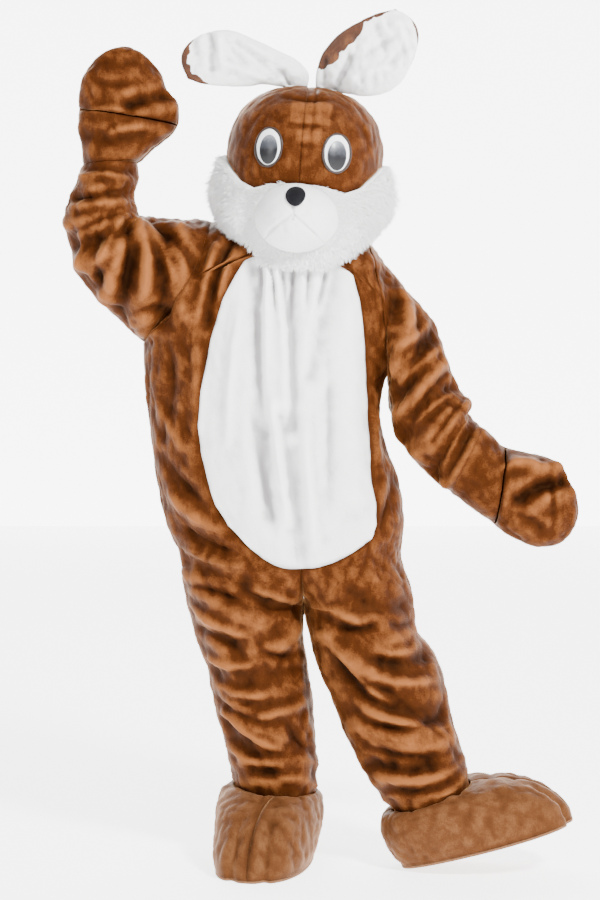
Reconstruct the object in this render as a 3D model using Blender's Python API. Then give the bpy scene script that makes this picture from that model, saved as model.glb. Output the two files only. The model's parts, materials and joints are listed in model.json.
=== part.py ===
"""Rabbit mascot costume, worn and hollow: jumpsuit, head with ears, two mitts and two shoe covers.

Sizes are metres. Heights in the tables are above the floor; an empty at the end lowers everything so
that the origin lies between the shoulders, where the wearer carries the costume. X runs to the wearer's
left, -Y is the front. Right and left are the wearer's.
Each cloth piece is a grid of points on the garment's form: a smooth section is carried down a table of
stations, folds push the points out or in, and the grid is then given a wall and closed at its edges.
"""
import math

import bmesh
import bpy
import numpy as np
from mathutils import Matrix, Vector
from mathutils.bvhtree import BVHTree

for old in list(bpy.data.objects):
    bpy.data.objects.remove(old, do_unlink=True)

# Driving sizes
SHOULDER_HEIGHT = 1.46
WALL = 0.003
GAP = 0.0003
TIP_APART = 0.0008
ZIP_HALF = 0.005
FUR = 0.034
SLIT = 0.004

BROWN = (0.30, 0.13, 0.05)
TAN = (0.42, 0.23, 0.12)
WHITE = (0.86, 0.85, 0.83)
BLACK = (0.02, 0.02, 0.02)
METAL = (0.55, 0.52, 0.48)

# Stations of the jumpsuit from shoulder seam to hem, one table for each half.
# front and back are the centre line or neckline, and below row 13 the inside leg seam.
HALF_COLUMNS = ("front_x", "front_y", "front_z", "back_x", "back_y", "back_z", "side_x", "side_y",
                "side_z", "hole_front", "hole_back", "roundness", "bulge", "leg")
RIGHT_HALF = (
    (-0.085, 0.000, 1.462, -0.085, 0.000, 1.462, -0.200, 0.00, 1.458, 0.000, 0.000, 0.2, 0.12, 0),
    (-0.090, -0.060, 1.440, -0.074, 0.062, 1.456, -0.206, 0.00, 1.430, 0.064, 0.060, 0.4, 0.12, 0),
    (-0.090, -0.104, 1.415, -0.044, 0.100, 1.449, -0.217, 0.00, 1.382, 0.104, 0.096, 0.5, 0.12, 0),
    (-0.003, -0.132, 1.392, -0.003, 0.120, 1.440, -0.242, 0.00, 1.322, 0.120, 0.112, 0.5, 0.12, 0),
    (-0.018, -0.150, 1.310, -0.003, 0.127, 1.330, -0.286, 0.00, 1.258, 0.106, 0.098, 0.6, 0.12, 0),
    (-0.028, -0.160, 1.235, -0.010, 0.136, 1.240, -0.330, 0.00, 1.208, 0.062, 0.058, 0.8, 0.12, 0),
    (-0.034, -0.165, 1.165, -0.020, 0.140, 1.165, -0.353, 0.00, 1.182, 0.000, 0.000, 1.0, 0.12, 0),
    (-0.034, -0.168, 1.080, -0.025, 0.142, 1.080, -0.349, 0.00, 1.085, 0.000, 0.000, 1.0, 0.12, 0),
    (-0.031, -0.170, 0.975, -0.025, 0.138, 0.975, -0.337, 0.00, 0.975, 0.000, 0.000, 1.0, 0.12, 0),
    (-0.024, -0.170, 0.870, -0.020, 0.142, 0.870, -0.323, 0.00, 0.870, 0.000, 0.000, 1.0, 0.12, 0),
    (-0.012, -0.163, 0.775, -0.010, 0.148, 0.775, -0.302, 0.00, 0.775, 0.000, 0.000, 1.0, 0.13, 0.0),
    (0.000, -0.142, 0.690, 0.000, 0.138, 0.690, -0.271, 0.00, 0.700, 0.000, 0.000, 1.0, 0.14, 0.15),
    (0.007, -0.086, 0.625, 0.007, 0.092, 0.625, -0.265, 0.01, 0.640, 0.000, 0.000, 1.0, 0.14, 0.6),
    (0.009, 0.006, 0.590, 0.009, 0.006, 0.590, -0.255, 0.01, 0.590, 0.000, 0.000, 1.0, 0.135, 1),
    (0.005, 0.016, 0.520, 0.005, 0.016, 0.520, -0.240, 0.02, 0.520, 0.000, 0.000, 1.0, 0.130, 1),
    (0.014, 0.024, 0.455, 0.014, 0.024, 0.455, -0.216, 0.024, 0.455, 0.000, 0.000, 1.0, 0.122, 1),
    (0.024, 0.030, 0.390, 0.024, 0.030, 0.390, -0.202, 0.03, 0.390, 0.000, 0.000, 1.0, 0.115, 1),
    (0.031, 0.036, 0.320, 0.031, 0.036, 0.320, -0.188, 0.036, 0.320, 0.000, 0.000, 1.0, 0.110, 1),
    (0.036, 0.042, 0.240, 0.036, 0.042, 0.240, -0.167, 0.042, 0.250, 0.000, 0.000, 1.0, 0.105, 1),
    (0.034, 0.048, 0.130, 0.034, 0.048, 0.130, -0.147, 0.048, 0.150, 0.000, 0.000, 1.0, 0.090, 1),
)
LEFT_HALF = (
    (0.085, 0.000, 1.456, 0.085, 0.000, 1.456, 0.150, 0.00, 1.418, 0.000, 0.000, 0.2, 0.12, 0),
    (0.088, -0.060, 1.436, 0.074, 0.062, 1.450, 0.158, 0.00, 1.392, 0.062, 0.058, 0.4, 0.12, 0),
    (0.088, -0.104, 1.412, 0.044, 0.100, 1.444, 0.170, 0.00, 1.345, 0.100, 0.092, 0.5, 0.12, 0),
    (-0.003, -0.132, 1.392, -0.003, 0.120, 1.440, 0.183, 0.00, 1.282, 0.114, 0.106, 0.5, 0.12, 0),
    (-0.018, -0.150, 1.310, -0.003, 0.127, 1.330, 0.191, 0.00, 1.215, 0.098, 0.092, 0.6, 0.12, 0),
    (-0.028, -0.160, 1.235, -0.010, 0.136, 1.240, 0.195, 0.00, 1.155, 0.058, 0.054, 0.8, 0.12, 0),
    (-0.034, -0.165, 1.165, -0.020, 0.140, 1.165, 0.197, 0.00, 1.118, 0.000, 0.000, 1.0, 0.12, 0),
    (-0.034, -0.168, 1.080, -0.025, 0.142, 1.080, 0.180, 0.00, 1.045, 0.000, 0.000, 1.0, 0.12, 0),
    (-0.031, -0.170, 0.975, -0.025, 0.138, 0.975, 0.189, 0.00, 0.965, 0.000, 0.000, 1.0, 0.12, 0),
    (-0.024, -0.170, 0.870, -0.020, 0.142, 0.870, 0.222, 0.00, 0.870, 0.000, 0.000, 1.0, 0.12, 0),
    (-0.012, -0.163, 0.775, -0.010, 0.148, 0.775, 0.236, 0.00, 0.775, 0.000, 0.000, 1.0, 0.13, 0.0),
    (0.000, -0.142, 0.690, 0.000, 0.138, 0.690, 0.229, 0.00, 0.700, 0.000, 0.000, 1.0, 0.14, 0.15),
    (0.007, -0.086, 0.625, 0.007, 0.092, 0.625, 0.247, -0.01, 0.640, 0.000, 0.000, 1.0, 0.14, 0.6),
    (0.009, 0.006, 0.590, 0.009, 0.006, 0.590, 0.257, -0.01, 0.590, 0.000, 0.000, 1.0, 0.135, 1),
    (0.022, -0.006, 0.520, 0.022, -0.006, 0.520, 0.264, -0.01, 0.530, 0.000, 0.000, 1.0, 0.130, 1),
    (0.040, -0.016, 0.455, 0.040, -0.016, 0.455, 0.312, -0.02, 0.465, 0.000, 0.000, 1.0, 0.122, 1),
    (0.068, -0.026, 0.390, 0.068, -0.026, 0.390, 0.330, -0.03, 0.400, 0.000, 0.000, 1.0, 0.116, 1),
    (0.103, -0.036, 0.300, 0.103, -0.036, 0.300, 0.345, -0.04, 0.325, 0.000, 0.000, 1.0, 0.112, 1),
    (0.155, -0.046, 0.205, 0.155, -0.046, 0.205, 0.368, -0.05, 0.255, 0.000, 0.000, 1.0, 0.106, 1),
    (0.225, -0.056, 0.115, 0.225, -0.056, 0.115, 0.382, -0.06, 0.180, 0.000, 0.000, 1.0, 0.088, 1),
)
BELLY_TOP, CROTCH, HEM = 3.0, 13.0, 19.0
UNDERARM = 6.0

# Edges of the white belly, height against x on each side, and how far each low row bows down
BELLY_COLUMNS = ("z", "right_x", "left_x", "bow")
BELLY_HIGHEST = 1.378
BELLY_EDGE = (
    (1.380, -0.112, 0.104, 0.000),
    (1.328, -0.144, 0.118, 0.000),
    (1.276, -0.171, 0.132, 0.000),
    (1.190, -0.197, 0.143, 0.000),
    (1.080, -0.217, 0.151, 0.000),
    (0.996, -0.224, 0.156, 0.000),
    (0.941, -0.220, 0.157, 0.000),
    (0.877, -0.204, 0.160, 0.003),
    (0.825, -0.188, 0.171, 0.014),
    (0.780, -0.160, 0.172, 0.036),
    (0.748, -0.128, 0.160, 0.066),
)

# Rings of a sleeve or mitt: its outer and inner edge seen from the front, its depth place and half depth
RING_COLUMNS = ("top_x", "top_z", "low_x", "low_z", "y", "depth")
RIGHT_SLEEVE = (
    (-0.200, 1.458, -0.353, 1.182, 0.000, 0.120),
    (-0.245, 1.457, -0.376, 1.204, -0.010, 0.118),
    (-0.292, 1.458, -0.404, 1.230, -0.020, 0.112),
    (-0.330, 1.460, -0.438, 1.264, -0.028, 0.105),
    (-0.350, 1.461, -0.476, 1.306, -0.035, 0.098),
    (-0.358, 1.463, -0.502, 1.350, -0.040, 0.092),
    (-0.363, 1.467, -0.514, 1.403, -0.043, 0.088),
    (-0.367, 1.480, -0.523, 1.455, -0.046, 0.084),
    (-0.374, 1.508, -0.514, 1.504, -0.048, 0.080),
    (-0.366, 1.545, -0.496, 1.542, -0.050, 0.074),
    (-0.361, 1.583, -0.485, 1.580, -0.052, 0.064),
)
LEFT_SLEEVE = (
    (0.150, 1.418, 0.198, 1.118, 0.000, 0.114),
    (0.190, 1.352, 0.207, 1.082, -0.006, 0.106),
    (0.224, 1.312, 0.209, 1.048, -0.014, 0.101),
    (0.260, 1.268, 0.209, 1.015, -0.024, 0.096),
    (0.303, 1.218, 0.211, 0.990, -0.036, 0.092),
    (0.327, 1.138, 0.217, 0.970, -0.048, 0.088),
    (0.354, 1.080, 0.240, 0.944, -0.058, 0.084),
    (0.378, 1.046, 0.266, 0.912, -0.066, 0.080),
    (0.371, 1.022, 0.296, 0.880, -0.074, 0.078),
    (0.402, 0.998, 0.334, 0.852, -0.084, 0.076),
)
RIGHT_MITT = (
    (-0.361, 1.583, -0.485, 1.580, -0.052, 0.064),
    (-0.332, 1.612, -0.484, 1.610, -0.054, 0.062),
    (-0.300, 1.636, -0.494, 1.655, -0.056, 0.060),
    (-0.274, 1.664, -0.492, 1.698, -0.058, 0.059),
    (-0.270, 1.712, -0.491, 1.722, -0.060, 0.058),
    (-0.296, 1.742, -0.489, 1.745, -0.062, 0.057),
    (-0.306, 1.776, -0.480, 1.778, -0.062, 0.054),
)
LEFT_MITT = (
    (0.402, 0.998, 0.334, 0.852, -0.084, 0.076),
    (0.428, 0.975, 0.380, 0.818, -0.092, 0.074),
    (0.454, 0.951, 0.430, 0.782, -0.100, 0.070),
    (0.498, 0.940, 0.456, 0.760, -0.106, 0.064),
    (0.540, 0.931, 0.500, 0.738, -0.112, 0.060),
    (0.574, 0.914, 0.540, 0.729, -0.116, 0.056),
    (0.588, 0.880, 0.578, 0.738, -0.118, 0.052),
)
RIGHT_EAR = (
    (0.018, 1.768, -0.034, 1.770, -0.004, 0.012),
    (0.020, 1.796, -0.060, 1.772, -0.012, 0.013),
    (-0.004, 1.820, -0.088, 1.768, -0.020, 0.013),
    (-0.045, 1.837, -0.116, 1.757, -0.028, 0.013),
    (-0.085, 1.853, -0.145, 1.754, -0.034, 0.013),
    (-0.120, 1.868, -0.172, 1.755, -0.040, 0.013),
    (-0.152, 1.879, -0.200, 1.756, -0.044, 0.012),
    (-0.186, 1.878, -0.226, 1.760, -0.048, 0.012),
    (-0.220, 1.868, -0.250, 1.770, -0.050, 0.011),
)
LEFT_EAR = (
    (0.034, 1.768, 0.084, 1.762, -0.010, 0.013),
    (0.036, 1.800, 0.110, 1.752, -0.026, 0.014),
    (0.050, 1.834, 0.138, 1.738, -0.042, 0.014),
    (0.078, 1.862, 0.168, 1.732, -0.056, 0.014),
    (0.112, 1.884, 0.200, 1.740, -0.068, 0.013),
    (0.148, 1.902, 0.225, 1.759, -0.076, 0.013),
    (0.180, 1.913, 0.241, 1.786, -0.080, 0.012),
    (0.210, 1.919, 0.254, 1.820, -0.080, 0.011),
)
RIGHT_MITT_TIP, LEFT_MITT_TIP = 0.060, 0.032
RIGHT_EAR_TIP, LEFT_EAR_TIP = 0.030, 0.030
MITT_SLIT_ROW = {"right": 3.0, "left": 2.0}

# Largest folds: a curve from start over middle to end as seen from the front, its width and its height.
# A negative height is a hollow. side is -1 on the front and 1 on the back.
FOLD_COLUMNS = ("start_x", "start_z", "middle_x", "middle_z", "end_x", "end_z", "width", "height", "side")
FOLDS = (
    # raised sleeve
    (-0.490, 1.572, -0.430, 1.548, -0.370, 1.560, 0.016, -0.006, -1),
    (-0.488, 1.565, -0.460, 1.520, -0.415, 1.490, 0.016, 0.007, -1),
    (-0.515, 1.450, -0.450, 1.440, -0.375, 1.462, 0.022, 0.011, -1),
    (-0.512, 1.400, -0.440, 1.400, -0.372, 1.440, 0.020, -0.012, -1),
    (-0.500, 1.350, -0.430, 1.360, -0.368, 1.430, 0.020, 0.010, -1),
    (-0.440, 1.280, -0.400, 1.350, -0.362, 1.430, 0.020, 0.011, -1),
    (-0.400, 1.245, -0.375, 1.330, -0.352, 1.420, 0.018, -0.010, -1),
    (-0.352, 1.215, -0.332, 1.320, -0.335, 1.420, 0.020, 0.010, -1),
    (-0.300, 1.230, -0.300, 1.330, -0.310, 1.430, 0.018, -0.008, -1),
    (-0.250, 1.240, -0.262, 1.330, -0.260, 1.430, 0.020, 0.008, -1),
    (-0.148, 1.400, -0.190, 1.340, -0.205, 1.230, 0.014, -0.009, -1),
    # hanging sleeve
    (0.185, 1.335, 0.215, 1.300, 0.205, 1.240, 0.018, -0.010, -1),
    (0.260, 1.262, 0.225, 1.200, 0.215, 1.120, 0.022, 0.010, -1),
    (0.300, 1.210, 0.262, 1.120, 0.222, 1.060, 0.020, -0.010, -1),
    (0.320, 1.150, 0.262, 1.080, 0.205, 1.010, 0.020, 0.009, -1),
    (0.345, 1.080, 0.280, 1.040, 0.225, 0.985, 0.020, -0.010, -1),
    (0.375, 1.050, 0.330, 1.000, 0.262, 0.940, 0.020, 0.011, -1),
    (0.372, 1.022, 0.330, 0.950, 0.290, 0.890, 0.018, -0.010, -1),
    (0.400, 0.995, 0.370, 0.930, 0.325, 0.870, 0.018, 0.008, -1),
    # mitts
    (-0.470, 1.640, -0.410, 1.620, -0.340, 1.640, 0.016, -0.007, -1),
    (-0.375, 1.705, -0.340, 1.718, -0.292, 1.728, 0.014, -0.014, -1),
    (-0.470, 1.795, -0.400, 1.800, -0.320, 1.795, 0.016, -0.004, -1),
    (0.578, 0.880, 0.520, 0.872, 0.480, 0.838, 0.016, -0.018, -1),
    (0.470, 0.925, 0.520, 0.912, 0.565, 0.902, 0.016, 0.006, -1),
    # right leg
    (-0.255, 0.668, -0.200, 0.600, -0.100, 0.552, 0.024, 0.011, -1),
    (-0.120, 0.640, -0.080, 0.605, 0.000, 0.588, 0.020, -0.010, -1),
    (-0.100, 0.500, -0.060, 0.492, -0.008, 0.535, 0.018, 0.009, -1),
    (-0.205, 0.560, -0.175, 0.500, -0.150, 0.430, 0.018, 0.008, -1),
    (-0.155, 0.370, -0.100, 0.320, -0.052, 0.285, 0.020, 0.010, -1),
    (-0.160, 0.312, -0.120, 0.260, -0.070, 0.220, 0.018, -0.009, -1),
    (-0.190, 0.440, -0.110, 0.420, -0.020, 0.450, 0.020, -0.008, -1),
    # left leg
    (0.115, 0.628, 0.170, 0.600, 0.235, 0.595, 0.022, -0.010, -1),
    (0.055, 0.530, 0.100, 0.470, 0.168, 0.450, 0.020, 0.011, -1),
    (0.095, 0.455, 0.150, 0.390, 0.310, 0.355, 0.022, -0.010, -1),
    (0.172, 0.515, 0.210, 0.520, 0.255, 0.530, 0.020, 0.009, -1),
    (0.180, 0.475, 0.230, 0.455, 0.285, 0.485, 0.018, -0.008, -1),
    (0.170, 0.250, 0.225, 0.235, 0.290, 0.250, 0.018, -0.010, -1),
    (0.130, 0.330, 0.220, 0.300, 0.330, 0.300, 0.022, 0.009, -1),
    # belly
    (-0.105, 1.360, -0.090, 1.150, -0.070, 0.800, 0.018, -0.007, -1),
    (-0.060, 1.340, -0.052, 1.120, -0.040, 0.880, 0.018, 0.006, -1),
    (-0.015, 1.350, -0.020, 1.180, -0.015, 1.000, 0.016, -0.006, -1),
    (0.078, 1.345, 0.050, 1.220, 0.026, 1.110, 0.018, -0.007, -1),
    (-0.040, 1.020, -0.020, 0.860, 0.000, 0.700, 0.018, -0.007, -1),
    (0.110, 1.250, 0.110, 1.050, 0.115, 0.850, 0.024, 0.005, -1),
    # back of the sleeves
    (-0.512, 1.470, -0.450, 1.440, -0.375, 1.462, 0.022, 0.010, 1),
    (-0.505, 1.370, -0.430, 1.380, -0.368, 1.440, 0.020, -0.010, 1),
    (-0.430, 1.270, -0.400, 1.350, -0.362, 1.430, 0.020, 0.010, 1),
    (-0.350, 1.215, -0.330, 1.320, -0.330, 1.420, 0.020, -0.009, 1),
    (0.300, 1.215, 0.255, 1.120, 0.215, 1.050, 0.020, 0.010, 1),
    (0.330, 1.120, 0.280, 1.060, 0.215, 0.990, 0.020, -0.010, 1),
    (0.370, 1.045, 0.320, 0.990, 0.262, 0.930, 0.020, 0.010, 1),
    # back of the body and legs
    (-0.300, 1.150, -0.200, 1.060, -0.060, 1.020, 0.026, -0.008, 1),
    (0.180, 1.080, 0.100, 1.010, 0.010, 0.990, 0.024, -0.008, 1),
    (-0.290, 0.960, -0.160, 0.880, -0.020, 0.900, 0.026, 0.008, 1),
    (-0.230, 0.660, -0.120, 0.620, -0.010, 0.640, 0.022, -0.010, 1),
    (0.220, 0.650, 0.120, 0.610, 0.020, 0.640, 0.022, -0.010, 1),
    (-0.210, 0.470, -0.110, 0.430, -0.010, 0.470, 0.022, 0.010, 1),
    (0.280, 0.460, 0.180, 0.420, 0.070, 0.450, 0.022, 0.010, 1),
    (-0.170, 0.300, -0.080, 0.270, 0.010, 0.300, 0.020, -0.009, 1),
    (0.330, 0.320, 0.240, 0.270, 0.150, 0.280, 0.020, -0.009, 1),
)


def along(rows, place):
    """Values of a table at a row number, on a smooth curve through its rows."""
    rows = np.asarray(rows, float)
    place = np.clip(np.asarray(place, float), 0.0, len(rows) - 1.0)
    low = np.minimum(place.astype(int), len(rows) - 2)
    part = (place - low)[..., None]
    before = rows[np.maximum(low - 1, 0)]
    start = rows[low]
    end = rows[low + 1]
    after = rows[np.minimum(low + 2, len(rows) - 1)]
    bend = 2 * before - 5 * start + 4 * end - after
    turn = 3 * start - before - 3 * end + after
    return start + 0.5 * ((end - before) * part + bend * part ** 2 + turn * part ** 3)


def along_parts(rows, place, breaks):
    """Like along, with a smooth curve between breaks and a free corner at each."""
    place = np.asarray(place, float)
    result = along(rows[breaks[0]:breaks[1] + 1], place - breaks[0])
    for start, end in zip(breaks[1:-1], breaks[2:]):
        later = along(rows[start:end + 1], place - start)
        result = np.where((place > start)[..., None], later, result)
    return result


def stack(x, y, z):
    """Points from three arrays that may need broadcasting."""
    return np.stack(np.broadcast_arrays(x, y, z), axis=-1).astype(float)


def unit(vectors):
    """Vectors made one long, with none left at zero length."""
    size = np.linalg.norm(vectors, axis=-1, keepdims=True)
    return vectors / np.maximum(size, 1e-12)


def ease(value):
    """0 to 1 with level ends."""
    value = np.clip(value, 0.0, 1.0)
    return value * value * (3.0 - 2.0 * value)


def half_point(half, side, across, station):
    """Point of a jumpsuit half: side -1 is the front and 1 the back, across runs from centre to side."""
    centre = along_parts(half, station, (0, 3, 13, 19))
    sides = along_parts(half, station, (0, 6, 19))
    values = np.concatenate([centre[..., :6], sides[..., 6:]], axis=-1)
    column = dict(zip(HALF_COLUMNS, np.moveaxis(values, -1, 0)))
    name = "front" if side < 0 else "back"
    inner = stack(column[name + "_x"], column[name + "_y"], column[name + "_z"])
    hole = column["hole_" + name]
    outer = stack(column["side_x"], column["side_y"] + side * hole, column["side_z"])
    quarter = 0.5 * math.pi * across
    chord = inner + (outer - inner) * np.sin(quarter)[..., None]
    rounded = stack(inner[..., 0] + (outer - inner)[..., 0] * np.sin(quarter),
                    outer[..., 1] + (inner - outer)[..., 1] * np.cos(quarter),
                    inner[..., 2] + (outer - inner)[..., 2] * np.sin(quarter) ** 2)
    body = chord + (rounded - chord) * column["roundness"][..., None]
    turn = math.pi * across
    leg = 0.5 * (inner + outer) + 0.5 * (inner - outer) * np.cos(turn)[..., None]
    leg[..., 1] += side * column["bulge"] * np.sin(turn)
    return body + (leg - body) * column["leg"][..., None]


def front_place(half, x, z):
    """Across and station of the front point that shows at x and z, found by a few steps of search."""
    across = np.full(np.shape(x), 0.4)
    station = np.full(np.shape(x), 7.0)
    step = 1e-4
    for _ in range(30):
        here = half_point(half, -1, across, station)
        by_across = (half_point(half, -1, across + step, station) - here) / step
        by_station = (half_point(half, -1, across, station + step) - here) / step
        off_x = x - here[..., 0]
        off_z = z - here[..., 2]
        scale = by_across[..., 0] * by_station[..., 2] - by_station[..., 0] * by_across[..., 2]
        scale = np.where(np.abs(scale) < 1e-6, 1e-6, scale)
        move_across = (off_x * by_station[..., 2] - by_station[..., 0] * off_z) / scale
        move_station = (by_across[..., 0] * off_z - off_x * by_across[..., 2]) / scale
        across = np.clip(across + np.clip(move_across, -0.2, 0.2), 0.0, 1.0)
        station = np.clip(station + np.clip(move_station, -1.0, 1.0), BELLY_TOP, CROTCH - 0.2)
    return across, station


def spread(*stops):
    """Row numbers from (end, count) stops: count even steps up to each end, starting at 0."""
    rows = [0.0]
    for end, count in stops:
        rows.extend(np.linspace(rows[-1], end, count + 1)[1:])
    return np.array(rows)


# How many steps each stretch of the jumpsuit has, from shoulder to hem
NECK_STEPS, ARMHOLE_STEPS = 4, 4
BELLY_LOW_STEPS, BELLY_CORNER_STEPS, CENTRE_STEPS, LEG_STEPS = 7, 5, 3, 11
BELLY_CORNER = 10.3
ACROSS = 7
SLEEVE_STEPS = 16

OUTER_ROWS = spread((BELLY_TOP, NECK_STEPS), (UNDERARM, ARMHOLE_STEPS), (BELLY_CORNER, BELLY_LOW_STEPS),
                    (11.4, BELLY_CORNER_STEPS), (CROTCH, CENTRE_STEPS), (HEM, LEG_STEPS))
FIRST_BELLY_ROW = NECK_STEPS
LAST_BELLY_ROW = NECK_STEPS + ARMHOLE_STEPS + BELLY_LOW_STEPS
CENTRE_ROW = LAST_BELLY_ROW + BELLY_CORNER_STEPS
CROTCH_ROW = CENTRE_ROW + CENTRE_STEPS
ARMHOLE_ROWS = NECK_STEPS + ARMHOLE_STEPS
ZIP_LAST_ROW = NECK_STEPS + ARMHOLE_STEPS + 5


def belly_grid():
    """Belly points, row by row: x runs edge to edge, low rows bow down, and the front's form gives y."""
    rows = OUTER_ROWS[FIRST_BELLY_ROW:LAST_BELLY_ROW + 1]
    heights = along(RIGHT_HALF, rows)[:, 2]
    heights[0] = BELLY_HIGHEST
    column = dict(zip(BELLY_COLUMNS, np.array(BELLY_EDGE)[::-1].T))
    heights[-1] = column["z"][0]
    right = np.interp(heights, column["z"], column["right_x"])[:, None]
    left = np.interp(heights, column["z"], column["left_x"])[:, None]
    bow = np.interp(heights, column["z"], column["bow"])[:, None]
    middle_station = front_place(RIGHT_HALF, 0 * heights, heights)[1]
    middle_x = half_point(RIGHT_HALF, -1, np.zeros(len(rows)), middle_station)[:, 0][:, None]
    away = 1.0 - np.linspace(0.0, 1.0, BELLY_CORNER_STEPS + 1)
    sides = {}
    for name, half, edge in (("right", RIGHT_HALF, right), ("left", LEFT_HALF, left)):
        x = middle_x + (edge - middle_x) * away
        z = heights[:, None] - bow * (1.0 - away ** 2)
        across, station = front_place(half, x, z)
        across[:, -1] = 0.0
        sides[name] = (across, station)
    shared_station = 0.5 * (sides["right"][1][:, -1] + sides["left"][1][:, -1])
    for across, station in sides.values():
        station[:, -1] = shared_station
    return sides


BELLY = belly_grid()


def front_grid(half, name):
    """Front panel points: each row runs from the neckline, belly, centre seam or inside leg to the side."""
    inner_across = np.zeros(len(OUTER_ROWS))
    inner_station = OUTER_ROWS.copy()
    across, station = BELLY[name]
    inner_across[FIRST_BELLY_ROW:LAST_BELLY_ROW + 1] = across[:, 0]
    inner_station[FIRST_BELLY_ROW:LAST_BELLY_ROW + 1] = station[:, 0]
    inner_across[LAST_BELLY_ROW:CENTRE_ROW + 1] = across[-1]
    inner_station[LAST_BELLY_ROW:CENTRE_ROW + 1] = station[-1]
    inner_station[CENTRE_ROW:CROTCH_ROW + 1] = np.linspace(
        inner_station[CENTRE_ROW], CROTCH, CENTRE_STEPS + 1)
    share = np.linspace(0.0, 1.0, ACROSS + 1)[None, :]
    across = inner_across[:, None] + (1.0 - inner_across[:, None]) * share
    station = inner_station[:, None] + (OUTER_ROWS - inner_station)[:, None] * share
    return half_point(half, -1, across, station)


def back_grid(half):
    """Back panel points: the centre edge stands back from the zip and meets its twin below it."""
    first = half_point(half, 1, np.zeros(len(OUTER_ROWS)), OUTER_ROWS)
    outer = half_point(half, 1, np.ones(len(OUTER_ROWS)), OUTER_ROWS)
    wide = np.abs(outer - first)[:, 0]
    inner = np.zeros(len(OUTER_ROWS))
    zipped = slice(NECK_STEPS, ZIP_LAST_ROW)
    inner[zipped] = ZIP_HALF / (wide[zipped] * 0.5 * math.pi)
    inner[ZIP_LAST_ROW] = 0.0006 / (wide[ZIP_LAST_ROW] * 0.5 * math.pi)
    share = np.linspace(0.0, 1.0, ACROSS + 1)[None, :]
    across = inner[:, None] + (1.0 - inner[:, None]) * share
    return half_point(half, 1, across, np.broadcast_to(OUTER_ROWS[:, None], across.shape))


def ring_points(rows, place, turn):
    """Points of an oval ring: turn 0 is its low edge, then the front, the top edge and the back."""
    column = dict(zip(RING_COLUMNS, np.moveaxis(along(rows, place), -1, 0)))
    low = stack(column["low_x"], column["y"], column["low_z"])
    top = stack(column["top_x"], column["y"], column["top_z"])
    points = 0.5 * (low + top) + 0.5 * (low - top) * np.cos(turn)[..., None]
    points[..., 1] -= column["depth"] * np.sin(turn)
    return points


def sleeve_grid(rows, front, back):
    """Sleeve points: the armhole of the panels eases into oval rings; the seam is under the arm."""
    hole = np.concatenate([front[ARMHOLE_ROWS::-1, -1], back[1:ARMHOLE_ROWS + 1, -1]])
    turn = np.linspace(0.0, 2.0 * math.pi, len(hole))[None, :]
    place = (len(rows) - 1.0) * np.linspace(0.0, 1.0, SLEEVE_STEPS + 1)[:, None] ** 0.85
    rings = ring_points(rows, place + 0 * turn, turn + 0 * place)
    share = np.clip(place / 4.5, 0.0, 1.0)
    share = (1.0 - (1.0 - share) ** 1.6)[..., None]
    return hole[None] + (rings - hole[None]) * share


def pillow(rows, tip, side, lengthwise, sideways, cup=0.0):
    """Half of a flat stuffed form: rows run from root to tip, the last row is the curve of the tip.

    lengthwise is 0 to 1 and sideways -1 (low edge) to 1 (top edge). The wall swells out by depth times
    the root of 1 minus sideways squared, and falls to nothing at the tip.
    """
    place = lengthwise * (len(rows) - 1.0)
    column = dict(zip(RING_COLUMNS, np.moveaxis(along(rows, place), -1, 0)))
    low = stack(column["low_x"], column["y"], column["low_z"])
    top = stack(column["top_x"], column["y"], column["top_z"])
    points = 0.5 * (low + top) + 0.5 * (top - low) * sideways[..., None]
    span = unit(top - low)
    forward = stack(-span[..., 2], 0.0 * place, span[..., 0])
    centre = along(rows, np.array([len(rows) - 1.0, len(rows) - 2.0]))
    heading = 0.5 * (centre[0, 0:2] + centre[0, 2:4] - centre[1, 0:2] - centre[1, 2:4])
    if forward[..., 0].mean() * heading[0] + forward[..., 2].mean() * heading[1] < 0:
        forward = -forward
    arc = tip * (1.0 - sideways ** 2) * ease((lengthwise - 0.55) / 0.45)
    points += forward * arc[..., None]
    swell = np.sqrt(np.maximum(1.0 - sideways ** 2, 0.0))
    swell = swell * np.sqrt(np.maximum(1.0 - lengthwise ** 7, 0.0))
    points[..., 1] += side * column["depth"] * swell + cup * (1.0 - sideways ** 2)
    return points


def curve_distance(points, fold):
    """Distance, seen from the front, from each point to a fold's curve."""
    start = np.array((fold["start_x"], fold["start_z"]))
    middle = np.array((fold["middle_x"], fold["middle_z"]))
    end = np.array((fold["end_x"], fold["end_z"]))
    share = np.linspace(0.0, 1.0, 9)[:, None]
    curve = (1 - share) ** 2 * start + 2 * share * (1 - share) * middle + share ** 2 * end
    seen = points[..., (0, 2)]
    nearest = np.full(seen.shape[:-1], 9.0)
    for one, two in zip(curve[:-1], curve[1:]):
        run = two - one
        share = np.clip(((seen - one) @ run) / (run @ run), 0.0, 1.0)
        nearest = np.minimum(nearest, np.linalg.norm(seen - one - share[..., None] * run, axis=-1))
    return nearest


def fold_height(points, normals):
    """How far the folds push each point out: a soft bell across each fold, on the side it lies on."""
    height = np.zeros(points.shape[:-1])
    for row in FOLDS:
        fold = dict(zip(FOLD_COLUMNS, row))
        facing = ease((fold["side"] * normals[..., 1] - 0.1) / 0.5)
        bell = np.exp(-(curve_distance(points, fold) / fold["width"]) ** 2)
        height += fold["height"] * bell * facing
    return height


def grid_normals(grid):
    """Normals at the points of a grid, not yet one long."""
    across = np.cross(grid[1:, 1:] - grid[:-1, :-1], grid[:-1, 1:] - grid[1:, :-1])
    total = np.zeros_like(grid)
    total[:-1, :-1] += across
    total[1:, :-1] += across
    total[:-1, 1:] += across
    total[1:, 1:] += across
    return total


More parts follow.
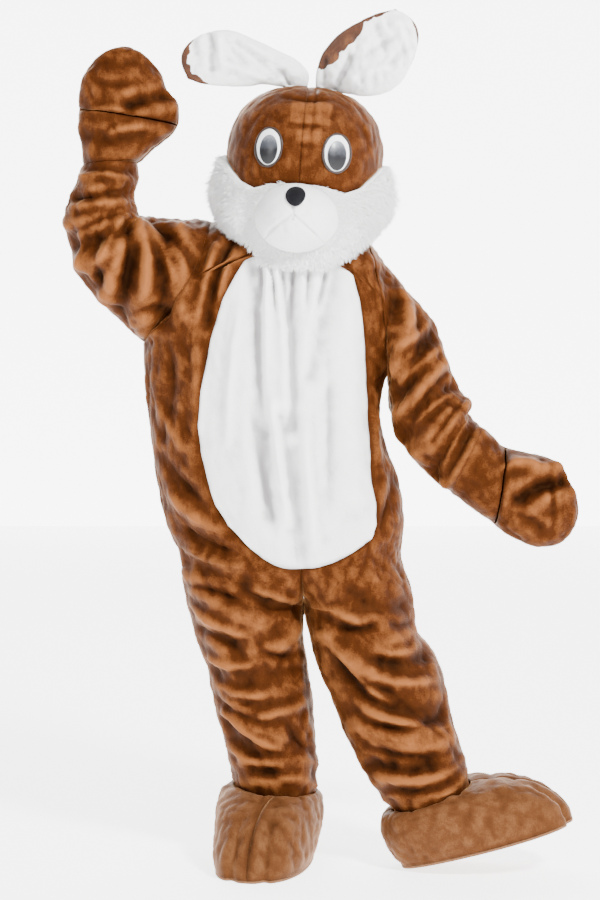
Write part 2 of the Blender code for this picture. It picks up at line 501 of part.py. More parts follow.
def outward(grid, inside):
    """The grid with its columns in the order that makes its normals point away from inside."""
    away = np.sum(grid_normals(grid) * (grid - np.asarray(inside)))
    return grid if away > 0 else grid[:, ::-1]


def facing_way(grid, way):
    """The grid with its columns in the order that makes its normals point along way."""
    return grid if np.sum(grid_normals(grid) @ np.asarray(way, float)) > 0 else grid[:, ::-1]


def shared_normals(grids):
    """Normals of several grids, the same for both pieces at a seam."""
    points = np.concatenate([grid.reshape(-1, 3) for grid in grids.values()])
    normals = np.concatenate([unit(grid_normals(grid)).reshape(-1, 3) for grid in grids.values()])
    where = np.unique(np.round(points, 5), axis=0, return_inverse=True)[1].ravel()
    total = np.zeros((where.max() + 1, 3))
    np.add.at(total, where, normals)
    shared = unit(total)[where]
    result = {}
    first = 0
    for name, grid in grids.items():
        count = grid.shape[0] * grid.shape[1]
        result[name] = shared[first:first + count].reshape(grid.shape)
        first += count
    return result


def seam_inset(grid, normals, margin):
    """The grid with each edge drawn back by margin, square to the seam and along the cloth."""
    moved = grid.copy()
    for flip in (False, True):
        points = grid.swapaxes(0, 1) if flip else grid
        facing = normals.swapaxes(0, 1) if flip else normals
        target = moved.swapaxes(0, 1) if flip else moved
        for end, next_in in ((0, 1), (-1, -2)):
            tangent = unit(np.gradient(points[end], axis=0))
            draw = unit(np.cross(facing[end], tangent))
            draw *= np.sign(np.sum(draw * (points[next_in] - points[end]), axis=-1, keepdims=True))
            reach = np.full((len(draw), 1), margin)
            reach[0] = reach[-1] = 3.0 * margin
            target[end] += draw * reach
    return moved


def make_material(name, colour, roughness, metallic=0.0):
    """A plain material for one piece."""
    material = bpy.data.materials.new(name)
    material.use_nodes = True
    shader = material.node_tree.nodes["Principled BSDF"]
    shader.inputs["Base Color"].default_value = (*colour, 1.0)
    shader.inputs["Roughness"].default_value = roughness
    shader.inputs["Metallic"].default_value = metallic
    return material


HOLDER = bpy.data.objects.new("shoulder_line", None)
HOLDER.location = (0.0, 0.0, -SHOULDER_HEIGHT)
bpy.context.scene.collection.objects.link(HOLDER)


def make_object(name, vertices, faces, colour, roughness=0.7, metallic=0.0):
    """An object from vertices and faces, carried by the shoulder line."""
    mesh = bpy.data.meshes.new(name)
    mesh.from_pydata([tuple(v) for v in np.asarray(vertices).tolist()], [], [tuple(f) for f in faces])
    mesh.materials.append(make_material(name, colour, roughness, metallic))
    mesh.shade_smooth()
    mesh.validate()
    piece = bpy.data.objects.new(name, mesh)
    bpy.context.scene.collection.objects.link(piece)
    piece.parent = HOLDER
    return piece


def closed_sheet(name, outer, inner, colour, roughness=0.7):
    """A closed solid between two grids of the same shape, all in triangles.

    Both walls take the shorter diagonal of the outer one. At a rim the diagonal starts at the higher
    corner, so that two pieces at a seam have parallel edges.
    """
    rows, columns = outer.shape[:2]
    count = rows * columns
    number = np.arange(count).reshape(rows, columns)
    one, two = number[:-1, :-1].ravel(), number[1:, :-1].ravel()
    three, four = number[1:, 1:].ravel(), number[:-1, 1:].ravel()
    flat = outer.reshape(-1, 3)
    long_way = np.linalg.norm(flat[one] - flat[three], axis=1)
    other_way = np.linalg.norm(flat[two] - flat[four], axis=1)
    first = long_way <= other_way
    other = ~first
    sheet = np.concatenate([
        np.stack([one[first], two[first], three[first]], 1),
        np.stack([one[first], three[first], four[first]], 1),
        np.stack([one[other], two[other], four[other]], 1),
        np.stack([two[other], three[other], four[other]], 1)])
    edge = np.concatenate([number[0, :-1], number[:-1, -1], number[-1, :0:-1], number[:0:-1, 0]])
    follow = np.roll(edge, -1)
    height = flat @ np.array((0.37, 0.11, 1.0))
    higher = height[edge] >= height[follow]
    rim = np.concatenate([
        np.stack([edge, follow, follow + count], 1)[~higher],
        np.stack([edge, follow + count, edge + count], 1)[~higher],
        np.stack([edge, follow, edge + count], 1)[higher],
        np.stack([follow, follow + count, edge + count], 1)[higher]])
    faces = np.concatenate([sheet, sheet[:, ::-1] + count, rim])
    vertices = np.concatenate([flat, inner.reshape(-1, 3)])
    return make_object(name, vertices, faces.tolist(), colour, roughness)


def sew(grids, colours, wall=WALL, folds=True, level=None):
    """Make each grid of a skin a piece of cloth: folds, seam gaps and a wall, with shared normals.

    level is a direction that the first row's normals lose, so that an edge stands flat on it.
    """
    normals = shared_normals(grids)
    if folds:
        grids = {n: g + normals[n] * fold_height(g, normals[n])[..., None] for n, g in grids.items()}
        normals = shared_normals(grids)
    pieces = {}
    for name, grid in grids.items():
        if level is not None:
            first = normals[name][0]
            normals[name][0] = unit(first - (first @ level)[:, None] * level)
        outer = seam_inset(grid, normals[name], 0.5 * GAP)
        at_crotch = np.linalg.norm(grid - CROTCH_POINT, axis=-1) < 0.004
        outer[at_crotch, 1] += 1.5 * GAP * (1.0 if name.startswith("back") else -1.0)
        if name.startswith(("mitt_palm", "mitt_back", "ear_")):
            apart = np.array((0.0, TIP_APART if "back" in name else -TIP_APART, 0.0))
            outer[-1, (0, -1)] += apart
            outer[-1, (1, -2)] += 0.5 * apart
            outer[-2, (0, -1)] += 0.5 * apart
        pieces[name] = (outer, outer - normals[name] * wall)
        closed_sheet(name, outer, pieces[name][1], colours[name])
    return pieces


CROTCH_POINT = half_point(RIGHT_HALF, -1, np.array(0.0), np.array(CROTCH))


def make_jumpsuit():
    """Belly, two fronts, two backs, two sleeves, two mitts and the zip tape, as one sewn skin."""
    grids = {}
    spine = (0.0, 0.0, 1.1)
    front = {"right": front_grid(RIGHT_HALF, "right"), "left": front_grid(LEFT_HALF, "left")}
    back = {"right": back_grid(RIGHT_HALF), "left": back_grid(LEFT_HALF)}
    right_belly = half_point(RIGHT_HALF, -1, *BELLY["right"])
    left_belly = half_point(LEFT_HALF, -1, *BELLY["left"])
    belly = np.concatenate([right_belly, left_belly[:, -2::-1]], axis=1)
    grids["belly_panel"] = outward(belly, spine)
    for name in ("right", "left"):
        grids["front_" + name] = outward(front[name], (front[name][:, :, 0].mean() * 0.6, 0.02, 0.8))
        grids["back_" + name] = outward(back[name], (back[name][:, :, 0].mean() * 0.6, -0.02, 0.8))
    zipped = slice(NECK_STEPS, ZIP_LAST_ROW + 1)
    edges = (back["right"][zipped, 0], back["left"][zipped, 0])
    tape = np.stack([edges[0], 0.5 * (edges[0] + edges[1]), edges[1]], axis=1)
    grids["zip_tape"] = outward(tape, spine)
    turns = 2 * ARMHOLE_ROWS
    for name, sleeve_rows, mitt_rows, tip in (("right", RIGHT_SLEEVE, RIGHT_MITT, RIGHT_MITT_TIP),
                                              ("left", LEFT_SLEEVE, LEFT_MITT, LEFT_MITT_TIP)):
        sleeve = sleeve_grid(sleeve_rows, front[name], back[name])
        grids["sleeve_" + name] = outward(sleeve, sleeve.mean(axis=(0, 1)))
        slit = MITT_SLIT_ROW[name] / (len(mitt_rows) - 1.0)
        mouth = slit + SLIT / 0.30
        side = -np.cos(np.linspace(0.0, math.pi, turns // 2 + 1))[None, :]
        heel_rows = np.linspace(0.0, slit, 4)
        finger_rows = mouth + (1.0 - mouth) * np.sin(np.linspace(0.0, 0.5 * math.pi, 8))
        spans = {"mitt_heel_": (heel_rows, -1), "mitt_palm_": (finger_rows, -1),
                 "mitt_back_": (np.concatenate([heel_rows, finger_rows]), 1)}
        middle = along(mitt_rows, 3.0)
        inside = (0.5 * (middle[0] + middle[2]), middle[4], 0.5 * (middle[1] + middle[3]))
        for piece, (rows, facing) in spans.items():
            rows = rows[:, None]
            grid = pillow(mitt_rows, tip, facing, rows + 0 * side, side + 0 * rows)
            grids[piece + name] = outward(grid, inside)
    colours = {name: BROWN for name in grids}
    colours["belly_panel"] = WHITE
    colours["zip_tape"] = (0.10, 0.06, 0.04)
    return sew(grids, colours)


# Head: an egg form with its own upright frame, set over the shoulders and tilted a little
HEAD_AT = np.array((0.008, 0.0, 1.56))
HEAD_ROLL, HEAD_YAW = math.radians(4.0), math.radians(3.0)
HEAD_WIDE, HEAD_FRONT, HEAD_BACK = 0.176, 0.168, 0.182
HEAD_BELT, HEAD_RISE = 0.02, 0.177
SIDE_SEAM = math.radians(95.0)
MUZZLE_GAP, NOSE_GAP = 0.0006, 0.0006
EYE_WIDE, EYE_TALL, EYE_DOME = 0.029, 0.042, 0.009
EAR_CUP, EAR_WALL, EAR_SEAT = 0.006, 0.0012, 0.0008
MUZZLE_LOW, MUZZLE_WIDE, MUZZLE_TALL, MUZZLE_OUT = -0.107, 0.092, 0.075, 0.075
# Edges round the head as (degrees from the front, height): the face's lower edge and the head's rim
FACE_EDGE = ((0, -0.032), (20, -0.036), (34, -0.046), (48, -0.030), (62, 0.000), (75, 0.022), (95, 0.036))
RIM_EDGE = ((0, -0.218), (25, -0.212), (45, -0.175), (60, -0.135), (80, -0.090), (110, -0.094),
            (180, -0.118))


def head_round(low, power=2.6, root=0.435):
    """Share of full width at a height in the head's frame."""
    rise = np.clip((low - HEAD_BELT) / HEAD_RISE, 0.0, 1.0)
    drop = np.clip((HEAD_BELT - low) / 0.22, 0.0, 1.3)
    return np.maximum(1.0 - rise ** power, 0.0) ** root * (1.0 - 0.05 * drop ** 2)


def head_deep(low):
    """Share of full depth at a height in the head's frame: rounder than the width."""
    return head_round(low, 2.1, 0.5)


def head_point(angle, low):
    """Point of the head's form: angle 0 is the front and positive to the wearer's left."""
    deep = np.where(np.cos(angle) > 0, HEAD_FRONT, HEAD_BACK)
    return stack(HEAD_WIDE * head_round(low) * np.sin(angle), -deep * head_deep(low) * np.cos(angle), low)


def head_to_world(points):
    """Points of the head's frame, rolled, turned and put in place."""
    roll = np.array(((math.cos(HEAD_ROLL), 0, math.sin(HEAD_ROLL)), (0, 1, 0),
                     (-math.sin(HEAD_ROLL), 0, math.cos(HEAD_ROLL))))
    yaw = np.array(((math.cos(HEAD_YAW), math.sin(HEAD_YAW), 0),
                    (-math.sin(HEAD_YAW), math.cos(HEAD_YAW), 0), (0, 0, 1)))
    return points @ (yaw @ roll).T + HEAD_AT


def edge_at(table, angle):
    """Height of an edge of the head at an angle, the same on both sides."""
    table = np.array(table)
    return np.interp(np.abs(np.degrees(angle)), table[:, 0], table[:, 1])


def surface_tree(grids):
    """Grids as one surface that points can be set down on."""
    vertices = []
    faces = []
    for grid in grids:
        first = len(vertices)
        number = np.arange(grid.shape[0] * grid.shape[1]).reshape(grid.shape[:2]) + first
        vertices.extend(Vector(p) for p in grid.reshape(-1, 3).tolist())
        quads = np.stack([number[:-1, :-1], number[1:, :-1], number[1:, 1:], number[:-1, 1:]], -1)
        faces.extend(quads.reshape(-1, 4).tolist())
    return BVHTree.FromPolygons(vertices, faces)


def lift_over(points, tree, clearance):
    """A row of points raised where needed so that the edges between them clear what lies below too."""
    raised = points.copy()
    parts = 6
    for _ in range(2):
        need = np.zeros(len(raised))
        for index in range(len(raised) - 1):
            for step in range(parts + 1):
                share = step / parts
                x, y, z = raised[index] * (1.0 - share) + raised[index + 1] * share
                hit = tree.ray_cast(Vector((x, y, 2.0)), Vector((0.0, 0.0, -1.0)))[0]
                if hit is not None:
                    lack = hit.z + clearance - z
                    need[index] = max(need[index], lack if share < 0.99 else 0.0)
                    need[index + 1] = max(need[index + 1], lack if share > 0.01 else 0.0)
        raised[:, 2] += need
    return raised


def over_rim(grid, tree, clearance):
    """A head grid whose rim row, its first, is lifted clear and whose next rows follow in part."""
    rows = len(grid)
    rim = lift_over(grid[0], tree, clearance)
    lift = (rim - grid[0])[None]
    fade = np.clip(1.0 - np.arange(rows) / (rows - 1.0), 0.0, 1.0)[:, None, None]
    return grid + lift * fade


def disc(count):
    """Even grid laid on a round disc, as two arrays from -1 to 1."""
    side = np.linspace(-1.0, 1.0, count + 1)
    one, two = np.meshgrid(side, side, indexing="ij")
    return one * np.sqrt(1.0 - 0.5 * two ** 2), two * np.sqrt(1.0 - 0.5 * one ** 2)


def muzzle_height(x, low):
    """How far the muzzle stands out in front of the head at a place in the head's frame."""
    radius = np.hypot(x / MUZZLE_WIDE, (low - MUZZLE_LOW) / MUZZLE_TALL)
    return MUZZLE_OUT * np.maximum(1.0 - radius ** 2.4, 0.0) ** 0.6


def face_depth(x, low):
    """Depth of the head's front form at a place in the head's frame."""
    sideways = x / (HEAD_WIDE * head_round(low))
    return -HEAD_FRONT * head_deep(low) * np.sqrt(np.maximum(1.0 - sideways ** 2, 0.0))


def make_head(tree):
    """Brown face and back, furry cheeks, muzzle, nose and eyes."""
    steps = 10
    top = HEAD_BELT + HEAD_RISE * 0.99995
    inside = np.array((0.0, 0.0, 0.0))
    skin = {}
    fur_pieces = {}
    for name, way in (("right", -1), ("left", 1)):
        angle = way * np.linspace(0.0, SIDE_SEAM, steps + 1)[None, :]
        start = edge_at(FACE_EDGE, angle)
        bend = np.sin(np.linspace(0.0, 0.5 * math.pi, 7))[:, None]
        front = head_point(angle + 0 * bend, start + (top - start) * bend)
        skin["head_front_" + name] = outward(front, inside)
        rim = edge_at(RIM_EDGE, angle)
        climb = np.linspace(0.0, 1.0, 9)[:, None]
        fur_pieces["cheek_" + name] = (angle + 0 * climb, rim + (start - rim) * climb)
        angle = way * np.linspace(SIDE_SEAM, math.pi, 6)[None, :]
        rim = edge_at(RIM_EDGE, angle)
        side_rows = np.concatenate([np.linspace(0.0, 1.0, 9), 1.0 + bend[1:, 0]])[:, None]
        low_part = rim + (edge_at(FACE_EDGE, SIDE_SEAM) - rim) * np.minimum(side_rows, 1.0)
        high_part = (top - edge_at(FACE_EDGE, SIDE_SEAM)) * np.maximum(side_rows - 1.0, 0.0)
        grid = head_point(angle + 0 * side_rows, low_part + high_part)
        skin["head_back_" + name] = grid
    worlds = {}
    for name, grid in skin.items():
        world = head_to_world(grid)
        if name.startswith("head_back"):
            world = over_rim(world, tree, 0.0006)
        worlds[name] = outward(world, HEAD_AT)
    cheeks = {}
    for name, (angle, low) in fur_pieces.items():
        world = over_rim(head_to_world(head_point(angle, low)), tree, 0.0012)
        if np.sum(grid_normals(world) * (world - HEAD_AT)) < 0:
            world, angle, low = world[:, ::-1], angle[:, ::-1], low[:, ::-1]
        worlds[name] = world
        cheeks[name] = (angle, low)
    normals = shared_normals(worlds)
    for name, world in worlds.items():
        outer = seam_inset(world, normals[name], 0.5 * GAP)
        inner = outer - normals[name] * WALL
        colour = BROWN
        if name in cheeks:
            angle, low = cheeks[name]
            colour = WHITE
            x = HEAD_WIDE * head_round(low) * np.sin(angle)
            radius = np.hypot(x / MUZZLE_WIDE, (low - MUZZLE_LOW) / MUZZLE_TALL)
            clear = ease((radius - 1.14) / 0.35) * np.where(np.abs(angle) > 1.7, 0.0, 1.0)
            rise = np.linspace(0.0, 1.0, len(low))[:, None]
            full = 0.55 + 0.45 * np.sin(math.pi * np.clip(rise, 0.0, 1.0) ** 0.8)
            side = 0.45 + 0.55 * ease((np.abs(angle) - 0.3) / 0.9)
            fur = clear * FUR * full * side
            stand = normals[name] * fur[..., None]
            outer = outer + stand
            outer[0] = lift_over(outer[0], tree, 0.0024)
        inner = over_wall(inner, tree, 0.0018 if name in cheeks else 0.0004)
        closed_sheet(name, outer, inner, colour)
    make_muzzle()
    make_eyes()
    return surface_tree([world for name, world in worlds.items() if name not in cheeks])


def over_wall(inner, tree, clearance):
    """The inner wall's rim row kept clear of the jumpsuit."""
    inner = inner.copy()
    inner[0] = lift_over(inner[0], tree, clearance)
    inner[-1] = lift_over(inner[-1], tree, clearance)
    return inner


def make_muzzle():
    """Two upper lips and a lower lip that meet at the mouth, on the thin middle of the cheeks."""
    rays = {"muzzle_right": (90.0, 223.0, 9), "muzzle_lower": (223.0, 317.0, 6),
            "muzzle_left": (317.0, 450.0, 9)}
    radius = np.concatenate([[0.012], np.linspace(0.16, 1.0, 6) ** 0.8])[:, None]
    grids = {}
    for name, (start, end, count) in rays.items():
        ray = np.radians(np.linspace(start, end, count + 1))[None, :]
        x = MUZZLE_WIDE * radius * np.cos(ray)
        low = MUZZLE_LOW + MUZZLE_TALL * radius * np.sin(ray)
        y = face_depth(x, low) - muzzle_height(x, low) - WALL - MUZZLE_GAP
        grids[name] = outward(head_to_world(stack(x, y, low)), HEAD_AT)
    normals = shared_normals(grids)
    forward = head_to_world(np.array((0.0, -1.0, 0.0))) - HEAD_AT
    for name, grid in grids.items():
        push = unit(normals[name] + 0.6 * forward)
        outer = seam_inset(grid, normals[name], 0.5 * GAP)
        closed_sheet(name, outer, outer - push * WALL, WHITE)
    one, two = disc(6)
    x = -0.001 + 0.0215 * one
    low = MUZZLE_LOW + 0.042 + 0.0225 * two
    base = face_depth(x, low) - muzzle_height(x, low) - WALL - MUZZLE_GAP - NOSE_GAP
    dome = 0.010 * np.sqrt(np.maximum(1.0 - 0.96 * (one ** 2 + two ** 2), 0.0))
    outer = head_to_world(stack(x, base - 0.0015 - dome, low))
    inner = head_to_world(stack(x, base - GAP, low))
    if np.sum(grid_normals(outer) * (outer - HEAD_AT)) < 0:
        outer, inner = outer[:, ::-1], inner[:, ::-1]
    closed_sheet("nose", outer, inner, BLACK)


def make_eyes():
    """An oval white eye on each side of the face and a dark iris on it."""
    eyes = {"right": (-0.072, 0.044), "left": (0.078, 0.040)}
    parts = (("eye_white_", 7, EYE_WIDE, EYE_TALL, 0.000, 0.000, 0.000, (0.82, 0.83, 0.84)),
             ("eye_iris_", 5, 0.020, 0.032, 0.001, -0.006, 0.0015, (0.03, 0.035, 0.04)))
    for side, (centre_x, centre_low) in eyes.items():
        for part, count, wide, tall, off_x, off_low, swell, colour in parts:
            one, two = disc(count)
            x = centre_x + off_x + wide * one
            low = centre_low + off_low + tall * two
            away_x = (one * wide + off_x) / EYE_WIDE
            away_low = (two * tall + off_low) / EYE_TALL
            dome = 0.0012 + EYE_DOME * np.sqrt(np.maximum(1.0 - 0.98 * (away_x ** 2 + away_low ** 2), 0.0))
            base = face_depth(x, low)
            if part == "eye_white_":
                outer = stack(x, base - dome - GAP, low)
                inner = stack(x, base - GAP, low)
            else:
                outer = stack(x, base - dome - 4 * GAP - swell, low)
                inner = stack(x, base - dome - 4 * GAP, low)
            outer, inner = head_to_world(outer), head_to_world(inner)
            if np.sum(grid_normals(outer) * (outer - HEAD_AT)) < 0:
                outer, inner = outer[:, ::-1], inner[:, ::-1]
            closed_sheet(part + side, outer, inner, colour, 0.25)


def set_down(row, tree, seat):
    """Height that each point of a row must rise to stand on the surface below it."""
    return np.array([tree.ray_cast(Vector((x, y, 2.5)), Vector((0.0, 0.0, -1.0)))[0].z + seat - z
                     for x, y, z in row])


def make_ears(tree):
    """Each ear has a white front and a brown back; its root stands on the crown."""
    for side, rows, tip in (("right", RIGHT_EAR, RIGHT_EAR_TIP), ("left", LEFT_EAR, LEFT_EAR_TIP)):
        length = np.sin(np.linspace(0.0, 0.5 * math.pi, 11))[:, None]
        sway = -np.cos(np.linspace(0.0, math.pi, 9))[None, :]
        grids = {}
        for piece, facing in (("ear_front_", -1), ("ear_back_", 1)):
            grid = pillow(rows, tip, facing, length + 0 * sway, sway + 0 * length, cup=EAR_CUP)
            rise = set_down(grid[0], tree, EAR_SEAT)
            grid[..., 2] += rise[None] * (1.0 - ease(length / 0.5))
            grids[piece + side] = facing_way(grid, (0, facing, 0))
        colours = {"ear_front_" + side: WHITE, "ear_back_" + side: BROWN}
        sew(grids, colours, wall=EAR_WALL, folds=False, level=np.array((0.0, 0.0, 1.0)))


# Shoe covers: a sole on its outline and two uppers that close in on the leg
FOOT_COLUMNS = ("heel_x", "heel_y", "heel_z", "heading", "pitch", "toe_turn", "open_row",
                "slack")
FEET = {
    "right": (-0.028, 0.175, 0.000, -103.0, 0.0, 90.0, 18.75, 0.0000),
    "left": (0.232, -0.056, 0.000, -7.0, 17.0, 180.0, 18.75, 0.0007),
}
FOOT_LONG, FOOT_HEEL_WIDE, FOOT_TOE_WIDE = 0.40, 0.092, 0.110
FOOT_BULGE = 0.026
SOLE_THICK = 0.006
LOBE_PLACE, LOBE_WIDE, LOBE_DEEP = 0.036, 0.011, 0.013


def foot_outline(turn):
    """Sole outline in the foot's frame: turn 0 is the heel and pi the toe, with three toe lobes."""
    forward = 0.5 * (1.0 - np.cos(turn))
    wide = FOOT_HEEL_WIDE + (FOOT_TOE_WIDE - FOOT_HEEL_WIDE) * ease(forward)
    sideways = wide * np.sign(np.sin(turn)) * np.abs(np.sin(turn)) ** 0.72
    groove = np.exp(-((np.abs(sideways) - LOBE_PLACE) / LOBE_WIDE) ** 2) * ease((forward - 0.75) / 0.2)
    return stack(FOOT_LONG * forward - LOBE_DEEP * groove, sideways, 0.0 * turn)


def make_foot(side, half):
    """Sole plate and the outer and inner upper of one shoe cover."""
    foot = dict(zip(FOOT_COLUMNS, FEET[side]))
    heading, pitch = math.radians(foot["heading"]), math.radians(foot["pitch"])
    level = np.array((math.cos(heading), math.sin(heading), 0.0))
    across = np.array((-math.sin(heading), math.cos(heading), 0.0))
    forward = level * math.cos(pitch) + np.array((0.0, 0.0, math.sin(pitch)))
    upward = np.cross(forward, across)
    frame = np.stack([forward, across, upward])
    heel = np.array((foot["heel_x"], foot["heel_y"], foot["heel_z"]))
    count = 28
    base = np.linspace(0.0, 2.0 * math.pi, count + 1)
    turn = base - 0.28 * np.sin(base)
    outline = foot_outline(turn)
    ring_turn = np.radians(foot["toe_turn"]) + (1.0 if side == "right" else -1.0) * (turn - math.pi)
    ring_turn = np.mod(ring_turn, 2.0 * math.pi)
    row = np.full(count + 1, foot["open_row"])
    on_front = ring_turn <= math.pi
    front = half_point(half, -1, np.clip(ring_turn / math.pi, 0.0, 1.0), row)
    back = half_point(half, 1, np.clip(2.0 - ring_turn / math.pi, 0.0, 1.0), row)
    ring = np.where(on_front[:, None], front, back)
    centre = ring[:-1].mean(axis=0)
    ring = ring + unit(ring - centre) * (WALL + foot["slack"])
    ring = (ring - heel) @ frame.T
    rise = np.linspace(0.0, 1.0, 8)[:, None]
    angle = 0.5 * math.pi * rise
    low = outline[None] + np.array((0.0, 0.0, SOLE_THICK + GAP))
    reach = ring[None] - low
    flat = np.stack([reach[..., 0], reach[..., 1], 0 * reach[..., 0]], -1)
    points = low + flat * (1.0 - np.cos(angle))[..., None]
    points[..., 2] += reach[..., 2] * np.sin(angle)
    middle = 0.5 * (outline.max(axis=0) + outline.min(axis=0))
    out = unit(outline - np.array((middle[0], 0.0, 0.0)))
    near = ease(1.0 - np.linalg.norm(flat, axis=-1) / 0.16)
    points += out[None] * (FOOT_BULGE * near * np.sin(math.pi * rise))[..., None]
    groove = np.exp(-((np.abs(points[..., 1]) - LOBE_PLACE) / LOBE_WIDE) ** 2)
    groove = groove * ease((points[..., 0] - 0.20) / 0.12) * ease(1.0 - rise)
    points[..., 2] -= 0.012 * groove * ease(points[..., 2] / 0.05)
    world = points @ frame + heel
    half_count = count // 2
    grids = {"foot_outer_" + side: world[:, :half_count + 1], "foot_inner_" + side: world[:, half_count:]}
    inside = np.array((0.5 * FOOT_LONG, 0.0, 0.05)) @ frame + heel
    grids = {name: outward(grid, inside) for name, grid in grids.items()}
    sew(grids, {name: TAN for name in grids}, folds=False, level=upward)
    sole = foot_outline(turn[:-1])
    upper = sole + np.array((0.0, 0.0, SOLE_THICK))
    vertices = np.concatenate([sole, upper]) @ frame + heel
    faces = [tuple(range(count))[::-1], tuple(range(count, 2 * count))]
    faces += [(i, (i + 1) % count, (i + 1) % count + count, i + count) for i in range(count)]
    follow = np.roll(sole, -1, axis=0)
    if np.sum(sole[:, 0] * follow[:, 1] - follow[:, 0] * sole[:, 1]) < 0:
        faces = [face[::-1] for face in faces]
    make_object("foot_sole_" + side, vertices, faces, TAN)


# Zip slider and its pull, seen from behind: sizes along x, out from the back, and up
ZIP_STATION = 3.35
SLIDER_WIDE, SLIDER_DEEP, SLIDER_TALL, SLIDER_SEAT = 0.0096, 0.0046, 0.0130, 0.0012
CHEEK_WIDE, CHEEK_PLACE, CHEEK_REACH, CHEEK_TALL = 0.0014, 0.0041, 0.0060, 0.0052
PIN_RADIUS, PIN_OUT, PIN_UP = 0.0009, 0.0094, 0.0030
TAB_WIDE, TAB_THICK, TAB_LONG, TAB_RING, TAB_HOLE = 0.0054, 0.0018, 0.0280, 0.0027, 0.0014


def helper_mesh(name, build):
    """A hidden object for a Boolean, filled by a function that adds to a bmesh."""
    mesh = bpy.data.meshes.new(name)
    shape = bmesh.new()
    build(shape)
    shape.to_mesh(mesh)
    shape.free()
    piece = bpy.data.objects.new(name, mesh)
    bpy.context.scene.collection.objects.link(piece)
    piece.parent = HOLDER
    piece.hide_render = True
    piece.display_type = "WIRE"
    return piece


def block(size, place):
    """A function that adds a box of a size at a place."""
    def build(shape):
        matrix = Matrix.Translation(place) @ Matrix.Diagonal((*size, 1.0))
        bmesh.ops.create_cube(shape, size=1.0, matrix=matrix)
    return build


def rod(radius, length, place):
    """A function that adds a round rod along x."""
    def build(shape):
        matrix = Matrix.Translation(place) @ Matrix.Rotation(0.5 * math.pi, 4, "Y")
        bmesh.ops.create_cone(shape, cap_ends=True, segments=16, radius1=radius, radius2=radius,
                              depth=length, matrix=matrix)
    return build


def combine(name, base, steps, colour, location=(0.0, 0.0, 0.0)):
    """A visible object that starts as base and has the hidden steps joined to it or cut from it."""
    piece = helper_mesh(name, base)
    piece.hide_render = False
    piece.display_type = "TEXTURED"
    piece.location = location
    piece.data.materials.append(make_material(name, colour, 0.35, 1.0))
    for number, (operation, build) in enumerate(steps):
        tool = helper_mesh(name + "_tool_" + str(number), build)
        tool.location = location
        modifier = piece.modifiers.new("step_" + str(number), "BOOLEAN")
        modifier.operation = operation
        modifier.object = tool
        modifier.solver = "EXACT"
    return piece


def make_zip_slider():
    """Slider body with two cheeks and a pin, and the pull that hangs straight down from the pin."""
    seat = half_point(RIGHT_HALF, 1, np.array(0.0), np.array(ZIP_STATION))
    body_y = seat[1] + SLIDER_SEAT + 0.5 * SLIDER_DEEP
    cheek_y = seat[1] + SLIDER_SEAT + SLIDER_DEEP + 0.5 * CHEEK_REACH - 0.0004
    pin = (float(seat[0]), float(seat[1] + SLIDER_SEAT + PIN_OUT - 0.0012), float(seat[2] + PIN_UP))
    cheek = (CHEEK_WIDE, CHEEK_REACH, CHEEK_TALL)
    combine("zip_slider", block((SLIDER_WIDE, SLIDER_DEEP, SLIDER_TALL), (seat[0], body_y, seat[2])), (
        ("UNION", block(cheek, (seat[0] - CHEEK_PLACE, cheek_y, pin[2]))),
        ("UNION", block(cheek, (seat[0] + CHEEK_PLACE, cheek_y, pin[2]))),
        ("UNION", rod(PIN_RADIUS, 2.0 * CHEEK_PLACE, pin))), METAL)
    drop = -0.5 * (TAB_LONG + TAB_HOLE)
    combine("zip_pull", rod(TAB_RING, TAB_WIDE, (0.0, 0.0, 0.0)), (
        ("UNION", block((TAB_WIDE - 0.0002, TAB_THICK, TAB_LONG - TAB_HOLE), (0.0, 0.0, drop))),
        ("DIFFERENCE", rod(TAB_HOLE, 2.0 * TAB_WIDE, (0.0, 0.0, 0.0)))), METAL, pin)


JUMPSUIT = make_jumpsuit()
UNDER_HEAD = ("belly_panel", "front_right", "front_left", "back_right", "back_left", "sleeve_right",
              "sleeve_left")
CROWN = make_head(surface_tree([JUMPSUIT[name][0] for name in UNDER_HEAD]))
make_ears(CROWN)
make_foot("right", RIGHT_HALF)
make_foot("left", LEFT_HALF)
make_zip_slider()
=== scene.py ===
"""Looks of the rabbit mascot costume: plush panels with their folds, fur, face, ears, shoe covers and zip.

Sizes are metres. Heights in the tables are above the floor, and put() lowers every piece so that the
origin lies between the shoulders. X runs to the wearer's left, -Y is the front. Right and left are the
wearer's. The tables and the form functions are those of the solids, at a finer step.
"""

import json
import math

import bpy
import numpy as np
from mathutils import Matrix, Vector
from mathutils.bvhtree import BVHTree

